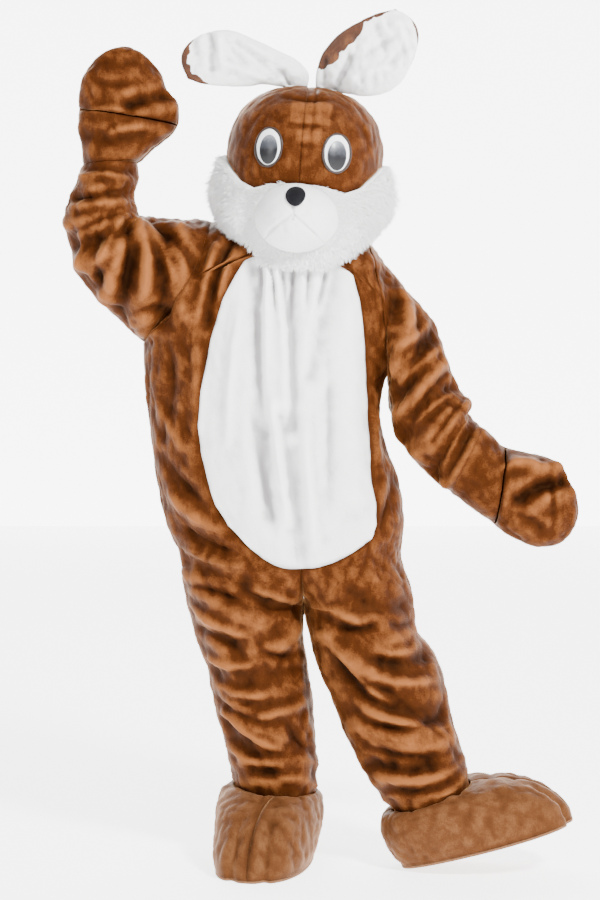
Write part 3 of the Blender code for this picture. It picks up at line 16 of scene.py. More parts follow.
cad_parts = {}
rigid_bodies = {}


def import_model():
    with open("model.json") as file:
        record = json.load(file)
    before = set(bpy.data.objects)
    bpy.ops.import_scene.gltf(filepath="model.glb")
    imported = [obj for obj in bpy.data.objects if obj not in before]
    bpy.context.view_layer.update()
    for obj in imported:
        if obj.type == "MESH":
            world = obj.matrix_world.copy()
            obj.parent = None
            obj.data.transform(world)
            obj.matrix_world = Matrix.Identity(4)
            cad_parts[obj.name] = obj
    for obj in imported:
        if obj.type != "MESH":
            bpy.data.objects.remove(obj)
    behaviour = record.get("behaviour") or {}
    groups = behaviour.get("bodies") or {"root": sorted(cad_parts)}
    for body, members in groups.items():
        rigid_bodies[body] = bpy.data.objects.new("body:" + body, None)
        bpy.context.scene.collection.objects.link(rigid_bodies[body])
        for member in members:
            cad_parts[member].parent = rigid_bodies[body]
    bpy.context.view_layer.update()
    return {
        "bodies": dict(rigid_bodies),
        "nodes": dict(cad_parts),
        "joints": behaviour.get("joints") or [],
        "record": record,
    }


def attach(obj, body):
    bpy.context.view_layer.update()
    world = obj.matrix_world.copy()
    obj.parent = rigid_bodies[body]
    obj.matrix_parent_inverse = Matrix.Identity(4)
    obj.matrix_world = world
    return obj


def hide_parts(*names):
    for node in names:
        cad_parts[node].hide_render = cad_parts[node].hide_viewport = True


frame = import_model()

# Driving sizes, the same as the solids'
SHOULDER_HEIGHT = 1.46
WALL = 0.003
GAP = 0.0003
ZIP_HALF = 0.005
FUR = 0.034
SLIT = 0.004
BODY = "costume"

# How many fine steps replace each step of the solids
FINE_ROWS, FINE_ACROSS, FINE_SLEEVE = 7, 7, 7
# How much deeper than the tables say the small folds are made
FINE_SHARE = 1.7

# Stations of the jumpsuit from shoulder seam to hem, one table for each half.
# front and back are the centre line or neckline, and below row 13 the inside leg seam.
HALF_COLUMNS = ("front_x", "front_y", "front_z", "back_x", "back_y", "back_z", "side_x", "side_y",
                "side_z", "hole_front", "hole_back", "roundness", "bulge", "leg")
RIGHT_HALF = (
    (-0.085, 0.000, 1.462, -0.085, 0.000, 1.462, -0.200, 0.00, 1.458, 0.000, 0.000, 0.2, 0.12, 0),
    (-0.090, -0.060, 1.440, -0.074, 0.062, 1.456, -0.206, 0.00, 1.430, 0.064, 0.060, 0.4, 0.12, 0),
    (-0.090, -0.104, 1.415, -0.044, 0.100, 1.449, -0.217, 0.00, 1.382, 0.104, 0.096, 0.5, 0.12, 0),
    (-0.003, -0.132, 1.392, -0.003, 0.120, 1.440, -0.242, 0.00, 1.322, 0.120, 0.112, 0.5, 0.12, 0),
    (-0.018, -0.150, 1.310, -0.003, 0.127, 1.330, -0.286, 0.00, 1.258, 0.106, 0.098, 0.6, 0.12, 0),
    (-0.028, -0.160, 1.235, -0.010, 0.136, 1.240, -0.330, 0.00, 1.208, 0.062, 0.058, 0.8, 0.12, 0),
    (-0.034, -0.165, 1.165, -0.020, 0.140, 1.165, -0.353, 0.00, 1.182, 0.000, 0.000, 1.0, 0.12, 0),
    (-0.034, -0.168, 1.080, -0.025, 0.142, 1.080, -0.349, 0.00, 1.085, 0.000, 0.000, 1.0, 0.12, 0),
    (-0.031, -0.170, 0.975, -0.025, 0.138, 0.975, -0.337, 0.00, 0.975, 0.000, 0.000, 1.0, 0.12, 0),
    (-0.024, -0.170, 0.870, -0.020, 0.142, 0.870, -0.323, 0.00, 0.870, 0.000, 0.000, 1.0, 0.12, 0),
    (-0.012, -0.163, 0.775, -0.010, 0.148, 0.775, -0.302, 0.00, 0.775, 0.000, 0.000, 1.0, 0.13, 0.0),
    (0.000, -0.142, 0.690, 0.000, 0.138, 0.690, -0.271, 0.00, 0.700, 0.000, 0.000, 1.0, 0.14, 0.15),
    (0.007, -0.086, 0.625, 0.007, 0.092, 0.625, -0.265, 0.01, 0.640, 0.000, 0.000, 1.0, 0.14, 0.6),
    (0.009, 0.006, 0.590, 0.009, 0.006, 0.590, -0.255, 0.01, 0.590, 0.000, 0.000, 1.0, 0.135, 1),
    (0.005, 0.016, 0.520, 0.005, 0.016, 0.520, -0.240, 0.02, 0.520, 0.000, 0.000, 1.0, 0.130, 1),
    (0.014, 0.024, 0.455, 0.014, 0.024, 0.455, -0.216, 0.024, 0.455, 0.000, 0.000, 1.0, 0.122, 1),
    (0.024, 0.030, 0.390, 0.024, 0.030, 0.390, -0.202, 0.03, 0.390, 0.000, 0.000, 1.0, 0.115, 1),
    (0.031, 0.036, 0.320, 0.031, 0.036, 0.320, -0.188, 0.036, 0.320, 0.000, 0.000, 1.0, 0.110, 1),
    (0.036, 0.042, 0.240, 0.036, 0.042, 0.240, -0.167, 0.042, 0.250, 0.000, 0.000, 1.0, 0.105, 1),
    (0.034, 0.048, 0.130, 0.034, 0.048, 0.130, -0.147, 0.048, 0.150, 0.000, 0.000, 1.0, 0.090, 1),
)
LEFT_HALF = (
    (0.085, 0.000, 1.456, 0.085, 0.000, 1.456, 0.150, 0.00, 1.418, 0.000, 0.000, 0.2, 0.12, 0),
    (0.088, -0.060, 1.436, 0.074, 0.062, 1.450, 0.158, 0.00, 1.392, 0.062, 0.058, 0.4, 0.12, 0),
    (0.088, -0.104, 1.412, 0.044, 0.100, 1.444, 0.170, 0.00, 1.345, 0.100, 0.092, 0.5, 0.12, 0),
    (-0.003, -0.132, 1.392, -0.003, 0.120, 1.440, 0.183, 0.00, 1.282, 0.114, 0.106, 0.5, 0.12, 0),
    (-0.018, -0.150, 1.310, -0.003, 0.127, 1.330, 0.191, 0.00, 1.215, 0.098, 0.092, 0.6, 0.12, 0),
    (-0.028, -0.160, 1.235, -0.010, 0.136, 1.240, 0.195, 0.00, 1.155, 0.058, 0.054, 0.8, 0.12, 0),
    (-0.034, -0.165, 1.165, -0.020, 0.140, 1.165, 0.197, 0.00, 1.118, 0.000, 0.000, 1.0, 0.12, 0),
    (-0.034, -0.168, 1.080, -0.025, 0.142, 1.080, 0.180, 0.00, 1.045, 0.000, 0.000, 1.0, 0.12, 0),
    (-0.031, -0.170, 0.975, -0.025, 0.138, 0.975, 0.189, 0.00, 0.965, 0.000, 0.000, 1.0, 0.12, 0),
    (-0.024, -0.170, 0.870, -0.020, 0.142, 0.870, 0.222, 0.00, 0.870, 0.000, 0.000, 1.0, 0.12, 0),
    (-0.012, -0.163, 0.775, -0.010, 0.148, 0.775, 0.236, 0.00, 0.775, 0.000, 0.000, 1.0, 0.13, 0.0),
    (0.000, -0.142, 0.690, 0.000, 0.138, 0.690, 0.229, 0.00, 0.700, 0.000, 0.000, 1.0, 0.14, 0.15),
    (0.007, -0.086, 0.625, 0.007, 0.092, 0.625, 0.247, -0.01, 0.640, 0.000, 0.000, 1.0, 0.14, 0.6),
    (0.009, 0.006, 0.590, 0.009, 0.006, 0.590, 0.257, -0.01, 0.590, 0.000, 0.000, 1.0, 0.135, 1),
    (0.022, -0.006, 0.520, 0.022, -0.006, 0.520, 0.264, -0.01, 0.530, 0.000, 0.000, 1.0, 0.130, 1),
    (0.040, -0.016, 0.455, 0.040, -0.016, 0.455, 0.312, -0.02, 0.465, 0.000, 0.000, 1.0, 0.122, 1),
    (0.068, -0.026, 0.390, 0.068, -0.026, 0.390, 0.330, -0.03, 0.400, 0.000, 0.000, 1.0, 0.116, 1),
    (0.103, -0.036, 0.300, 0.103, -0.036, 0.300, 0.345, -0.04, 0.325, 0.000, 0.000, 1.0, 0.112, 1),
    (0.155, -0.046, 0.205, 0.155, -0.046, 0.205, 0.368, -0.05, 0.255, 0.000, 0.000, 1.0, 0.106, 1),
    (0.225, -0.056, 0.115, 0.225, -0.056, 0.115, 0.382, -0.06, 0.180, 0.000, 0.000, 1.0, 0.088, 1),
)
BELLY_TOP, CROTCH, HEM = 3.0, 13.0, 19.0
UNDERARM = 6.0

# Edges of the white belly: (height, right x, left x, how far the low row bows down)
BELLY_EDGE = (
    (1.380, -0.112, 0.104, 0.000),
    (1.328, -0.144, 0.118, 0.000),
    (1.276, -0.171, 0.132, 0.000),
    (1.190, -0.197, 0.143, 0.000),
    (1.080, -0.217, 0.151, 0.000),
    (0.996, -0.224, 0.156, 0.000),
    (0.941, -0.220, 0.157, 0.000),
    (0.877, -0.204, 0.160, 0.003),
    (0.825, -0.188, 0.171, 0.014),
    (0.780, -0.160, 0.172, 0.036),
    (0.748, -0.128, 0.160, 0.066),
)

# Rings of a sleeve or mitt: its outer and inner edge seen from the front, its depth place and half depth
RING_COLUMNS = ("top_x", "top_z", "low_x", "low_z", "y", "depth")
RIGHT_SLEEVE = (
    (-0.200, 1.458, -0.353, 1.182, 0.000, 0.120),
    (-0.245, 1.457, -0.376, 1.204, -0.010, 0.118),
    (-0.292, 1.458, -0.404, 1.230, -0.020, 0.112),
    (-0.330, 1.460, -0.438, 1.264, -0.028, 0.105),
    (-0.350, 1.461, -0.476, 1.306, -0.035, 0.098),
    (-0.358, 1.463, -0.502, 1.350, -0.040, 0.092),
    (-0.363, 1.467, -0.514, 1.403, -0.043, 0.088),
    (-0.367, 1.480, -0.523, 1.455, -0.046, 0.084),
    (-0.374, 1.508, -0.514, 1.504, -0.048, 0.080),
    (-0.366, 1.545, -0.496, 1.542, -0.050, 0.074),
    (-0.361, 1.583, -0.485, 1.580, -0.052, 0.064),
)
LEFT_SLEEVE = (
    (0.150, 1.418, 0.198, 1.118, 0.000, 0.114),
    (0.190, 1.352, 0.207, 1.082, -0.006, 0.106),
    (0.224, 1.312, 0.209, 1.048, -0.014, 0.101),
    (0.260, 1.268, 0.209, 1.015, -0.024, 0.096),
    (0.303, 1.218, 0.211, 0.990, -0.036, 0.092),
    (0.327, 1.138, 0.217, 0.970, -0.048, 0.088),
    (0.354, 1.080, 0.240, 0.944, -0.058, 0.084),
    (0.378, 1.046, 0.266, 0.912, -0.066, 0.080),
    (0.371, 1.022, 0.296, 0.880, -0.074, 0.078),
    (0.402, 0.998, 0.334, 0.852, -0.084, 0.076),
)
RIGHT_MITT = (
    (-0.361, 1.583, -0.485, 1.580, -0.052, 0.064),
    (-0.332, 1.612, -0.484, 1.610, -0.054, 0.062),
    (-0.300, 1.636, -0.494, 1.655, -0.056, 0.060),
    (-0.274, 1.664, -0.492, 1.698, -0.058, 0.059),
    (-0.270, 1.712, -0.491, 1.722, -0.060, 0.058),
    (-0.296, 1.742, -0.489, 1.745, -0.062, 0.057),
    (-0.306, 1.776, -0.480, 1.778, -0.062, 0.054),
)
LEFT_MITT = (
    (0.402, 0.998, 0.334, 0.852, -0.084, 0.076),
    (0.428, 0.975, 0.380, 0.818, -0.092, 0.074),
    (0.454, 0.951, 0.430, 0.782, -0.100, 0.070),
    (0.498, 0.940, 0.456, 0.760, -0.106, 0.064),
    (0.540, 0.931, 0.500, 0.738, -0.112, 0.060),
    (0.574, 0.914, 0.540, 0.729, -0.116, 0.056),
    (0.588, 0.880, 0.578, 0.738, -0.118, 0.052),
)
RIGHT_EAR = (
    (0.018, 1.768, -0.034, 1.770, -0.004, 0.012),
    (0.020, 1.796, -0.060, 1.772, -0.012, 0.013),
    (-0.004, 1.820, -0.088, 1.768, -0.020, 0.013),
    (-0.045, 1.837, -0.116, 1.757, -0.028, 0.013),
    (-0.085, 1.853, -0.145, 1.754, -0.034, 0.013),
    (-0.120, 1.868, -0.172, 1.755, -0.040, 0.013),
    (-0.152, 1.879, -0.200, 1.756, -0.044, 0.012),
    (-0.186, 1.878, -0.226, 1.760, -0.048, 0.012),
    (-0.220, 1.868, -0.250, 1.770, -0.050, 0.011),
)
LEFT_EAR = (
    (0.034, 1.768, 0.084, 1.762, -0.010, 0.013),
    (0.036, 1.800, 0.110, 1.752, -0.026, 0.014),
    (0.050, 1.834, 0.138, 1.738, -0.042, 0.014),
    (0.078, 1.862, 0.168, 1.732, -0.056, 0.014),
    (0.112, 1.884, 0.200, 1.740, -0.068, 0.013),
    (0.148, 1.902, 0.225, 1.759, -0.076, 0.013),
    (0.180, 1.913, 0.241, 1.786, -0.080, 0.012),
    (0.210, 1.919, 0.254, 1.820, -0.080, 0.011),
)
RIGHT_MITT_TIP, LEFT_MITT_TIP = 0.060, 0.032
RIGHT_EAR_TIP, LEFT_EAR_TIP = 0.030, 0.030
MITT_SLIT_ROW = {"right": 3.0, "left": 2.0}

# Largest folds: a curve from start over middle to end as seen from the front, its width and its height.
# A negative height is a hollow. side is -1 on the front and 1 on the back.
FOLD_COLUMNS = ("start_x", "start_z", "middle_x", "middle_z", "end_x", "end_z", "width", "height", "side")
FOLDS = (
    # raised sleeve
    (-0.490, 1.572, -0.430, 1.548, -0.370, 1.560, 0.016, -0.006, -1),
    (-0.488, 1.565, -0.460, 1.520, -0.415, 1.490, 0.016, 0.007, -1),
    (-0.515, 1.450, -0.450, 1.440, -0.375, 1.462, 0.022, 0.011, -1),
    (-0.512, 1.400, -0.440, 1.400, -0.372, 1.440, 0.020, -0.012, -1),
    (-0.500, 1.350, -0.430, 1.360, -0.368, 1.430, 0.020, 0.010, -1),
    (-0.440, 1.280, -0.400, 1.350, -0.362, 1.430, 0.020, 0.011, -1),
    (-0.400, 1.245, -0.375, 1.330, -0.352, 1.420, 0.018, -0.010, -1),
    (-0.352, 1.215, -0.332, 1.320, -0.335, 1.420, 0.020, 0.010, -1),
    (-0.300, 1.230, -0.300, 1.330, -0.310, 1.430, 0.018, -0.008, -1),
    (-0.250, 1.240, -0.262, 1.330, -0.260, 1.430, 0.020, 0.008, -1),
    (-0.148, 1.400, -0.190, 1.340, -0.205, 1.230, 0.014, -0.009, -1),
    # hanging sleeve
    (0.185, 1.335, 0.215, 1.300, 0.205, 1.240, 0.018, -0.010, -1),
    (0.260, 1.262, 0.225, 1.200, 0.215, 1.120, 0.022, 0.010, -1),
    (0.300, 1.210, 0.262, 1.120, 0.222, 1.060, 0.020, -0.010, -1),
    (0.320, 1.150, 0.262, 1.080, 0.205, 1.010, 0.020, 0.009, -1),
    (0.345, 1.080, 0.280, 1.040, 0.225, 0.985, 0.020, -0.010, -1),
    (0.375, 1.050, 0.330, 1.000, 0.262, 0.940, 0.020, 0.011, -1),
    (0.372, 1.022, 0.330, 0.950, 0.290, 0.890, 0.018, -0.010, -1),
    (0.400, 0.995, 0.370, 0.930, 0.325, 0.870, 0.018, 0.008, -1),
    # mitts
    (-0.470, 1.640, -0.410, 1.620, -0.340, 1.640, 0.016, -0.007, -1),
    (-0.375, 1.705, -0.340, 1.718, -0.292, 1.728, 0.014, -0.014, -1),
    (-0.470, 1.795, -0.400, 1.800, -0.320, 1.795, 0.016, -0.004, -1),
    (0.578, 0.880, 0.520, 0.872, 0.480, 0.838, 0.016, -0.018, -1),
    (0.470, 0.925, 0.520, 0.912, 0.565, 0.902, 0.016, 0.006, -1),
    # right leg
    (-0.255, 0.668, -0.200, 0.600, -0.100, 0.552, 0.024, 0.011, -1),
    (-0.120, 0.640, -0.080, 0.605, 0.000, 0.588, 0.020, -0.010, -1),
    (-0.100, 0.500, -0.060, 0.492, -0.008, 0.535, 0.018, 0.009, -1),
    (-0.205, 0.560, -0.175, 0.500, -0.150, 0.430, 0.018, 0.008, -1),
    (-0.155, 0.370, -0.100, 0.320, -0.052, 0.285, 0.020, 0.010, -1),
    (-0.160, 0.312, -0.120, 0.260, -0.070, 0.220, 0.018, -0.009, -1),
    (-0.190, 0.440, -0.110, 0.420, -0.020, 0.450, 0.020, -0.008, -1),
    # left leg
    (0.115, 0.628, 0.170, 0.600, 0.235, 0.595, 0.022, -0.010, -1),
    (0.055, 0.530, 0.100, 0.470, 0.168, 0.450, 0.020, 0.011, -1),
    (0.095, 0.455, 0.150, 0.390, 0.310, 0.355, 0.022, -0.010, -1),
    (0.172, 0.515, 0.210, 0.520, 0.255, 0.530, 0.020, 0.009, -1),
    (0.180, 0.475, 0.230, 0.455, 0.285, 0.485, 0.018, -0.008, -1),
    (0.170, 0.250, 0.225, 0.235, 0.290, 0.250, 0.018, -0.010, -1),
    (0.130, 0.330, 0.220, 0.300, 0.330, 0.300, 0.022, 0.009, -1),
    # belly
    (-0.105, 1.360, -0.090, 1.150, -0.070, 0.800, 0.018, -0.007, -1),
    (-0.060, 1.340, -0.052, 1.120, -0.040, 0.880, 0.018, 0.006, -1),
    (-0.015, 1.350, -0.020, 1.180, -0.015, 1.000, 0.016, -0.006, -1),
    (0.078, 1.345, 0.050, 1.220, 0.026, 1.110, 0.018, -0.007, -1),
    (-0.040, 1.020, -0.020, 0.860, 0.000, 0.700, 0.018, -0.007, -1),
    (0.110, 1.250, 0.110, 1.050, 0.115, 0.850, 0.024, 0.005, -1),
    # back of the sleeves
    (-0.512, 1.470, -0.450, 1.440, -0.375, 1.462, 0.022, 0.010, 1),
    (-0.505, 1.370, -0.430, 1.380, -0.368, 1.440, 0.020, -0.010, 1),
    (-0.430, 1.270, -0.400, 1.350, -0.362, 1.430, 0.020, 0.010, 1),
    (-0.350, 1.215, -0.330, 1.320, -0.330, 1.420, 0.020, -0.009, 1),
    (0.300, 1.215, 0.255, 1.120, 0.215, 1.050, 0.020, 0.010, 1),
    (0.330, 1.120, 0.280, 1.060, 0.215, 0.990, 0.020, -0.010, 1),
    (0.370, 1.045, 0.320, 0.990, 0.262, 0.930, 0.020, 0.010, 1),
    # back of the body and legs
    (-0.300, 1.150, -0.200, 1.060, -0.060, 1.020, 0.026, -0.008, 1),
    (0.180, 1.080, 0.100, 1.010, 0.010, 0.990, 0.024, -0.008, 1),
    (-0.290, 0.960, -0.160, 0.880, -0.020, 0.900, 0.026, 0.008, 1),
    (-0.230, 0.660, -0.120, 0.620, -0.010, 0.640, 0.022, -0.010, 1),
    (0.220, 0.650, 0.120, 0.610, 0.020, 0.640, 0.022, -0.010, 1),
    (-0.210, 0.470, -0.110, 0.430, -0.010, 0.470, 0.022, 0.010, 1),
    (0.280, 0.460, 0.180, 0.420, 0.070, 0.450, 0.022, 0.010, 1),
    (-0.170, 0.300, -0.080, 0.270, 0.010, 0.300, 0.020, -0.009, 1),
    (0.330, 0.320, 0.240, 0.270, 0.150, 0.280, 0.020, -0.009, 1),
)


# Smaller folds, seen in the photo or made like those for the hidden sides
FINE_FOLDS = (
    # raised sleeve, fanning from the inside of the elbow
    (-0.372, 1.462, -0.330, 1.400, -0.340, 1.300, 0.011, 0.009, -1),
    (-0.380, 1.458, -0.372, 1.380, -0.395, 1.290, 0.010, -0.009, -1),
    (-0.392, 1.462, -0.420, 1.400, -0.462, 1.330, 0.011, 0.009, -1),
    (-0.385, 1.470, -0.440, 1.455, -0.506, 1.420, 0.009, -0.008, -1),
    (-0.385, 1.492, -0.440, 1.488, -0.505, 1.478, 0.010, 0.007, -1),
    (-0.395, 1.520, -0.440, 1.500, -0.510, 1.500, 0.008, -0.006, -1),
    (-0.372, 1.543, -0.430, 1.560, -0.480, 1.548, 0.008, 0.006, -1),
    (-0.345, 1.452, -0.290, 1.400, -0.280, 1.300, 0.010, 0.006, -1),
    (-0.330, 1.448, -0.270, 1.420, -0.228, 1.330, 0.010, -0.006, -1),
    (-0.440, 1.410, -0.455, 1.350, -0.430, 1.290, 0.010, -0.007, -1),
    (-0.475, 1.440, -0.490, 1.400, -0.480, 1.350, 0.010, 0.007, -1),
    (-0.300, 1.250, -0.330, 1.270, -0.372, 1.250, 0.010, -0.006, -1),
    # chest beside the belly
    (-0.140, 1.400, -0.160, 1.350, -0.180, 1.280, 0.009, 0.006, -1),
    (-0.185, 1.390, -0.205, 1.330, -0.222, 1.230, 0.010, 0.006, -1),
    (-0.230, 1.200, -0.222, 1.080, -0.232, 0.960, 0.012, 0.005, -1),
    (-0.290, 1.180, -0.270, 1.080, -0.300, 0.980, 0.014, -0.005, -1),
    (-0.310, 1.040, -0.270, 0.960, -0.235, 0.930, 0.012, 0.006, -1),
    (-0.300, 0.930, -0.262, 0.860, -0.210, 0.830, 0.012, -0.007, -1),
    (-0.290, 0.850, -0.240, 0.790, -0.170, 0.770, 0.012, 0.008, -1),
    (-0.270, 0.780, -0.215, 0.735, -0.140, 0.720, 0.011, -0.008, -1),
    (-0.262, 0.730, -0.190, 0.690, -0.110, 0.690, 0.011, 0.007, -1),
    (0.175, 1.080, 0.165, 1.000, 0.172, 0.900, 0.009, 0.006, -1),
    (0.215, 0.880, 0.195, 0.820, 0.180, 0.760, 0.010, -0.006, -1),
    # hanging sleeve
    (0.215, 1.330, 0.240, 1.270, 0.235, 1.190, 0.010, 0.006, -1),
    (0.245, 1.290, 0.270, 1.220, 0.262, 1.150, 0.010, -0.006, -1),
    (0.290, 1.230, 0.240, 1.170, 0.213, 1.180, 0.009, 0.006, -1),
    (0.318, 1.180, 0.262, 1.140, 0.216, 1.085, 0.009, 0.007, -1),
    (0.330, 1.120, 0.290, 1.090, 0.245, 1.020, 0.009, -0.008, -1),
    (0.350, 1.075, 0.300, 1.060, 0.250, 1.000, 0.009, 0.008, -1),
    (0.368, 1.060, 0.330, 1.030, 0.290, 0.960, 0.008, -0.008, -1),
    (0.378, 1.030, 0.345, 0.975, 0.308, 0.905, 0.008, 0.008, -1),
    (0.392, 1.008, 0.362, 0.960, 0.322, 0.885, 0.008, -0.007, -1),
    # mitts
    (-0.482, 1.690, -0.430, 1.700, -0.380, 1.690, 0.008, 0.004, -1),
    (-0.455, 1.760, -0.410, 1.742, -0.350, 1.752, 0.009, -0.004, -1),
    (-0.420, 1.640, -0.380, 1.660, -0.330, 1.655, 0.008, 0.005, -1),
    (0.440, 0.905, 0.480, 0.925, 0.530, 0.905, 0.010, 0.007, -1),
    (0.460, 0.815, 0.500, 0.800, 0.540, 0.770, 0.010, -0.005, -1),
    (0.548, 0.900, 0.560, 0.830, 0.552, 0.760, 0.006, -0.004, -1),
    # right leg
    (-0.250, 0.640, -0.190, 0.640, -0.120, 0.600, 0.010, -0.008, -1),
    (-0.258, 0.600, -0.190, 0.560, -0.110, 0.530, 0.010, 0.008, -1),
    (-0.245, 0.545, -0.190, 0.540, -0.140, 0.500, 0.010, -0.008, -1),
    (-0.112, 0.640, -0.060, 0.625, -0.004, 0.600, 0.010, 0.007, -1),
    (-0.098, 0.505, -0.050, 0.475, -0.004, 0.480, 0.010, -0.008, -1),
    (-0.215, 0.480, -0.150, 0.455, -0.100, 0.470, 0.010, 0.008, -1),
    (-0.200, 0.420, -0.130, 0.385, -0.060, 0.400, 0.010, 0.007, -1),
    (-0.195, 0.385, -0.140, 0.345, -0.080, 0.330, 0.009, -0.008, -1),
    (-0.100, 0.345, -0.050, 0.350, 0.010, 0.370, 0.010, 0.007, -1),
    (-0.168, 0.345, -0.110, 0.295, -0.050, 0.270, 0.008, 0.008, -1),
    (-0.155, 0.265, -0.105, 0.230, -0.050, 0.235, 0.009, 0.007, -1),
    (-0.120, 0.215, -0.070, 0.200, -0.010, 0.215, 0.010, -0.006, -1),
    (-0.030, 0.330, -0.005, 0.280, 0.020, 0.250, 0.009, -0.006, -1),
    # left leg
    (0.040, 0.600, 0.090, 0.590, 0.140, 0.560, 0.010, 0.007, -1),
    (0.080, 0.555, 0.130, 0.545, 0.170, 0.560, 0.009, -0.007, -1),
    (0.060, 0.515, 0.090, 0.455, 0.150, 0.420, 0.009, -0.009, -1),
    (0.095, 0.480, 0.130, 0.420, 0.200, 0.390, 0.009, 0.009, -1),
    (0.200, 0.560, 0.230, 0.545, 0.256, 0.560, 0.009, -0.006, -1),
    (0.172, 0.500, 0.220, 0.485, 0.262, 0.500, 0.009, 0.007, -1),
    (0.180, 0.440, 0.240, 0.425, 0.300, 0.430, 0.010, 0.007, -1),
    (0.130, 0.385, 0.200, 0.340, 0.300, 0.330, 0.010, 0.009, -1),
    (0.150, 0.345, 0.230, 0.320, 0.320, 0.345, 0.009, -0.008, -1),
    (0.150, 0.290, 0.220, 0.262, 0.320, 0.270, 0.009, -0.008, -1),
    (0.175, 0.225, 0.240, 0.205, 0.320, 0.232, 0.009, 0.008, -1),
    (0.200, 0.190, 0.260, 0.182, 0.330, 0.205, 0.008, -0.007, -1),
    # belly gathers under the chin, long soft valleys and ridges
    (-0.090, 1.372, -0.082, 1.330, -0.084, 1.270, 0.006, -0.006, -1),
    (-0.066, 1.372, -0.060, 1.320, -0.052, 1.250, 0.006, -0.006, -1),
    (-0.042, 1.372, -0.036, 1.310, -0.030, 1.230, 0.006, -0.005, -1),
    (-0.014, 1.372, -0.014, 1.300, -0.026, 1.220, 0.006, -0.006, -1),
    (0.022, 1.372, 0.020, 1.310, 0.012, 1.250, 0.006, -0.005, -1),
    (0.062, 1.370, 0.056, 1.320, 0.040, 1.260, 0.006, -0.006, -1),
    (-0.078, 1.340, -0.072, 1.180, -0.078, 1.000, 0.010, 0.006, -1),
    (-0.045, 1.300, -0.030, 1.160, -0.030, 1.010, 0.009, 0.006, -1),
    (-0.066, 1.080, -0.050, 0.920, -0.020, 0.780, 0.009, 0.006, -1),
    (-0.110, 1.050, -0.090, 0.900, -0.055, 0.770, 0.011, -0.005, -1),
    (0.010, 1.000, 0.015, 0.880, 0.030, 0.740, 0.011, 0.005, -1),
    (0.060, 1.180, 0.075, 1.000, 0.062, 0.820, 0.013, -0.004, -1),
    (-0.140, 1.240, -0.150, 1.100, -0.160, 0.960, 0.012, 0.004, -1),
    # hidden sides
    (-0.240, 1.390, -0.200, 1.330, -0.190, 1.220, 0.012, 0.007, 1),
    (-0.160, 1.420, -0.140, 1.300, -0.150, 1.180, 0.012, -0.006, 1),
    (0.130, 1.380, 0.120, 1.260, 0.130, 1.140, 0.012, -0.006, 1),
    (-0.080, 1.300, -0.070, 1.150, -0.080, 1.000, 0.013, 0.006, 1),
    (0.070, 1.260, 0.065, 1.120, 0.080, 0.980, 0.013, 0.006, 1),
    (-0.310, 1.060, -0.220, 1.000, -0.130, 0.960, 0.012, 0.007, 1),
    (-0.300, 0.890, -0.200, 0.830, -0.090, 0.840, 0.012, -0.007, 1),
    (0.220, 0.850, 0.140, 0.800, 0.050, 0.820, 0.012, 0.007, 1),
    (0.210, 0.760, 0.120, 0.730, 0.040, 0.740, 0.012, -0.007, 1),
    (-0.280, 0.760, -0.180, 0.720, -0.060, 0.740, 0.012, 0.007, 1),
    (-0.240, 0.590, -0.150, 0.570, -0.050, 0.560, 0.011, 0.008, 1),
    (0.240, 0.580, 0.160, 0.560, 0.060, 0.570, 0.011, 0.008, 1),
    (-0.210, 0.520, -0.120, 0.500, -0.020, 0.520, 0.010, -0.008, 1),
    (-0.200, 0.390, -0.110, 0.370, -0.010, 0.400, 0.010, 0.008, 1),
    (-0.170, 0.240, -0.080, 0.220, 0.020, 0.240, 0.010, 0.008, 1),
    (0.290, 0.520, 0.200, 0.500, 0.100, 0.510, 0.010, -0.008, 1),
    (0.320, 0.390, 0.220, 0.360, 0.100, 0.380, 0.010, 0.008, 1),
    (0.340, 0.250, 0.260, 0.220, 0.190, 0.230, 0.010, 0.008, 1),
    (-0.500, 1.420, -0.440, 1.400, -0.372, 1.450, 0.010, -0.007, 1),
    (-0.470, 1.320, -0.420, 1.360, -0.366, 1.440, 0.010, 0.007, 1),
    (-0.300, 1.250, -0.290, 1.330, -0.300, 1.430, 0.011, 0.006, 1),
    (0.320, 1.170, 0.260, 1.130, 0.212, 1.080, 0.010, 0.007, 1),
    (0.355, 1.080, 0.300, 1.040, 0.240, 0.970, 0.009, -0.008, 1),
    (0.385, 1.020, 0.350, 0.960, 0.300, 0.900, 0.009, 0.008, 1),
)


def along(rows, place):
    """Values of a table at a row number, on a smooth curve through its rows."""
    rows = np.asarray(rows, float)
    place = np.clip(np.asarray(place, float), 0.0, len(rows) - 1.0)
    low = np.minimum(place.astype(int), len(rows) - 2)
    part = (place - low)[..., None]
    before = rows[np.maximum(low - 1, 0)]
    start = rows[low]
    end = rows[low + 1]
    after = rows[np.minimum(low + 2, len(rows) - 1)]
    bend = 2 * before - 5 * start + 4 * end - after
    turn = 3 * start - before - 3 * end + after
    return start + 0.5 * ((end - before) * part + bend * part ** 2 + turn * part ** 3)


def along_parts(rows, place, breaks):
    """Like along, with a smooth curve between breaks and a free corner at each."""
    place = np.asarray(place, float)
    result = along(rows[breaks[0]:breaks[1] + 1], place - breaks[0])
    for start, end in zip(breaks[1:-1], breaks[2:]):
        later = along(rows[start:end + 1], place - start)
        result = np.where((place > start)[..., None], later, result)
    return result


def stack(x, y, z):
    """Points from three arrays that may need broadcasting."""
    return np.stack(np.broadcast_arrays(x, y, z), axis=-1).astype(float)


def unit(vectors):
    """Vectors made one long, with none left at zero length."""
    size = np.linalg.norm(vectors, axis=-1, keepdims=True)
    return vectors / np.maximum(size, 1e-12)


def ease(value):
    """0 to 1 with level ends."""
    value = np.clip(value, 0.0, 1.0)
    return value * value * (3.0 - 2.0 * value)


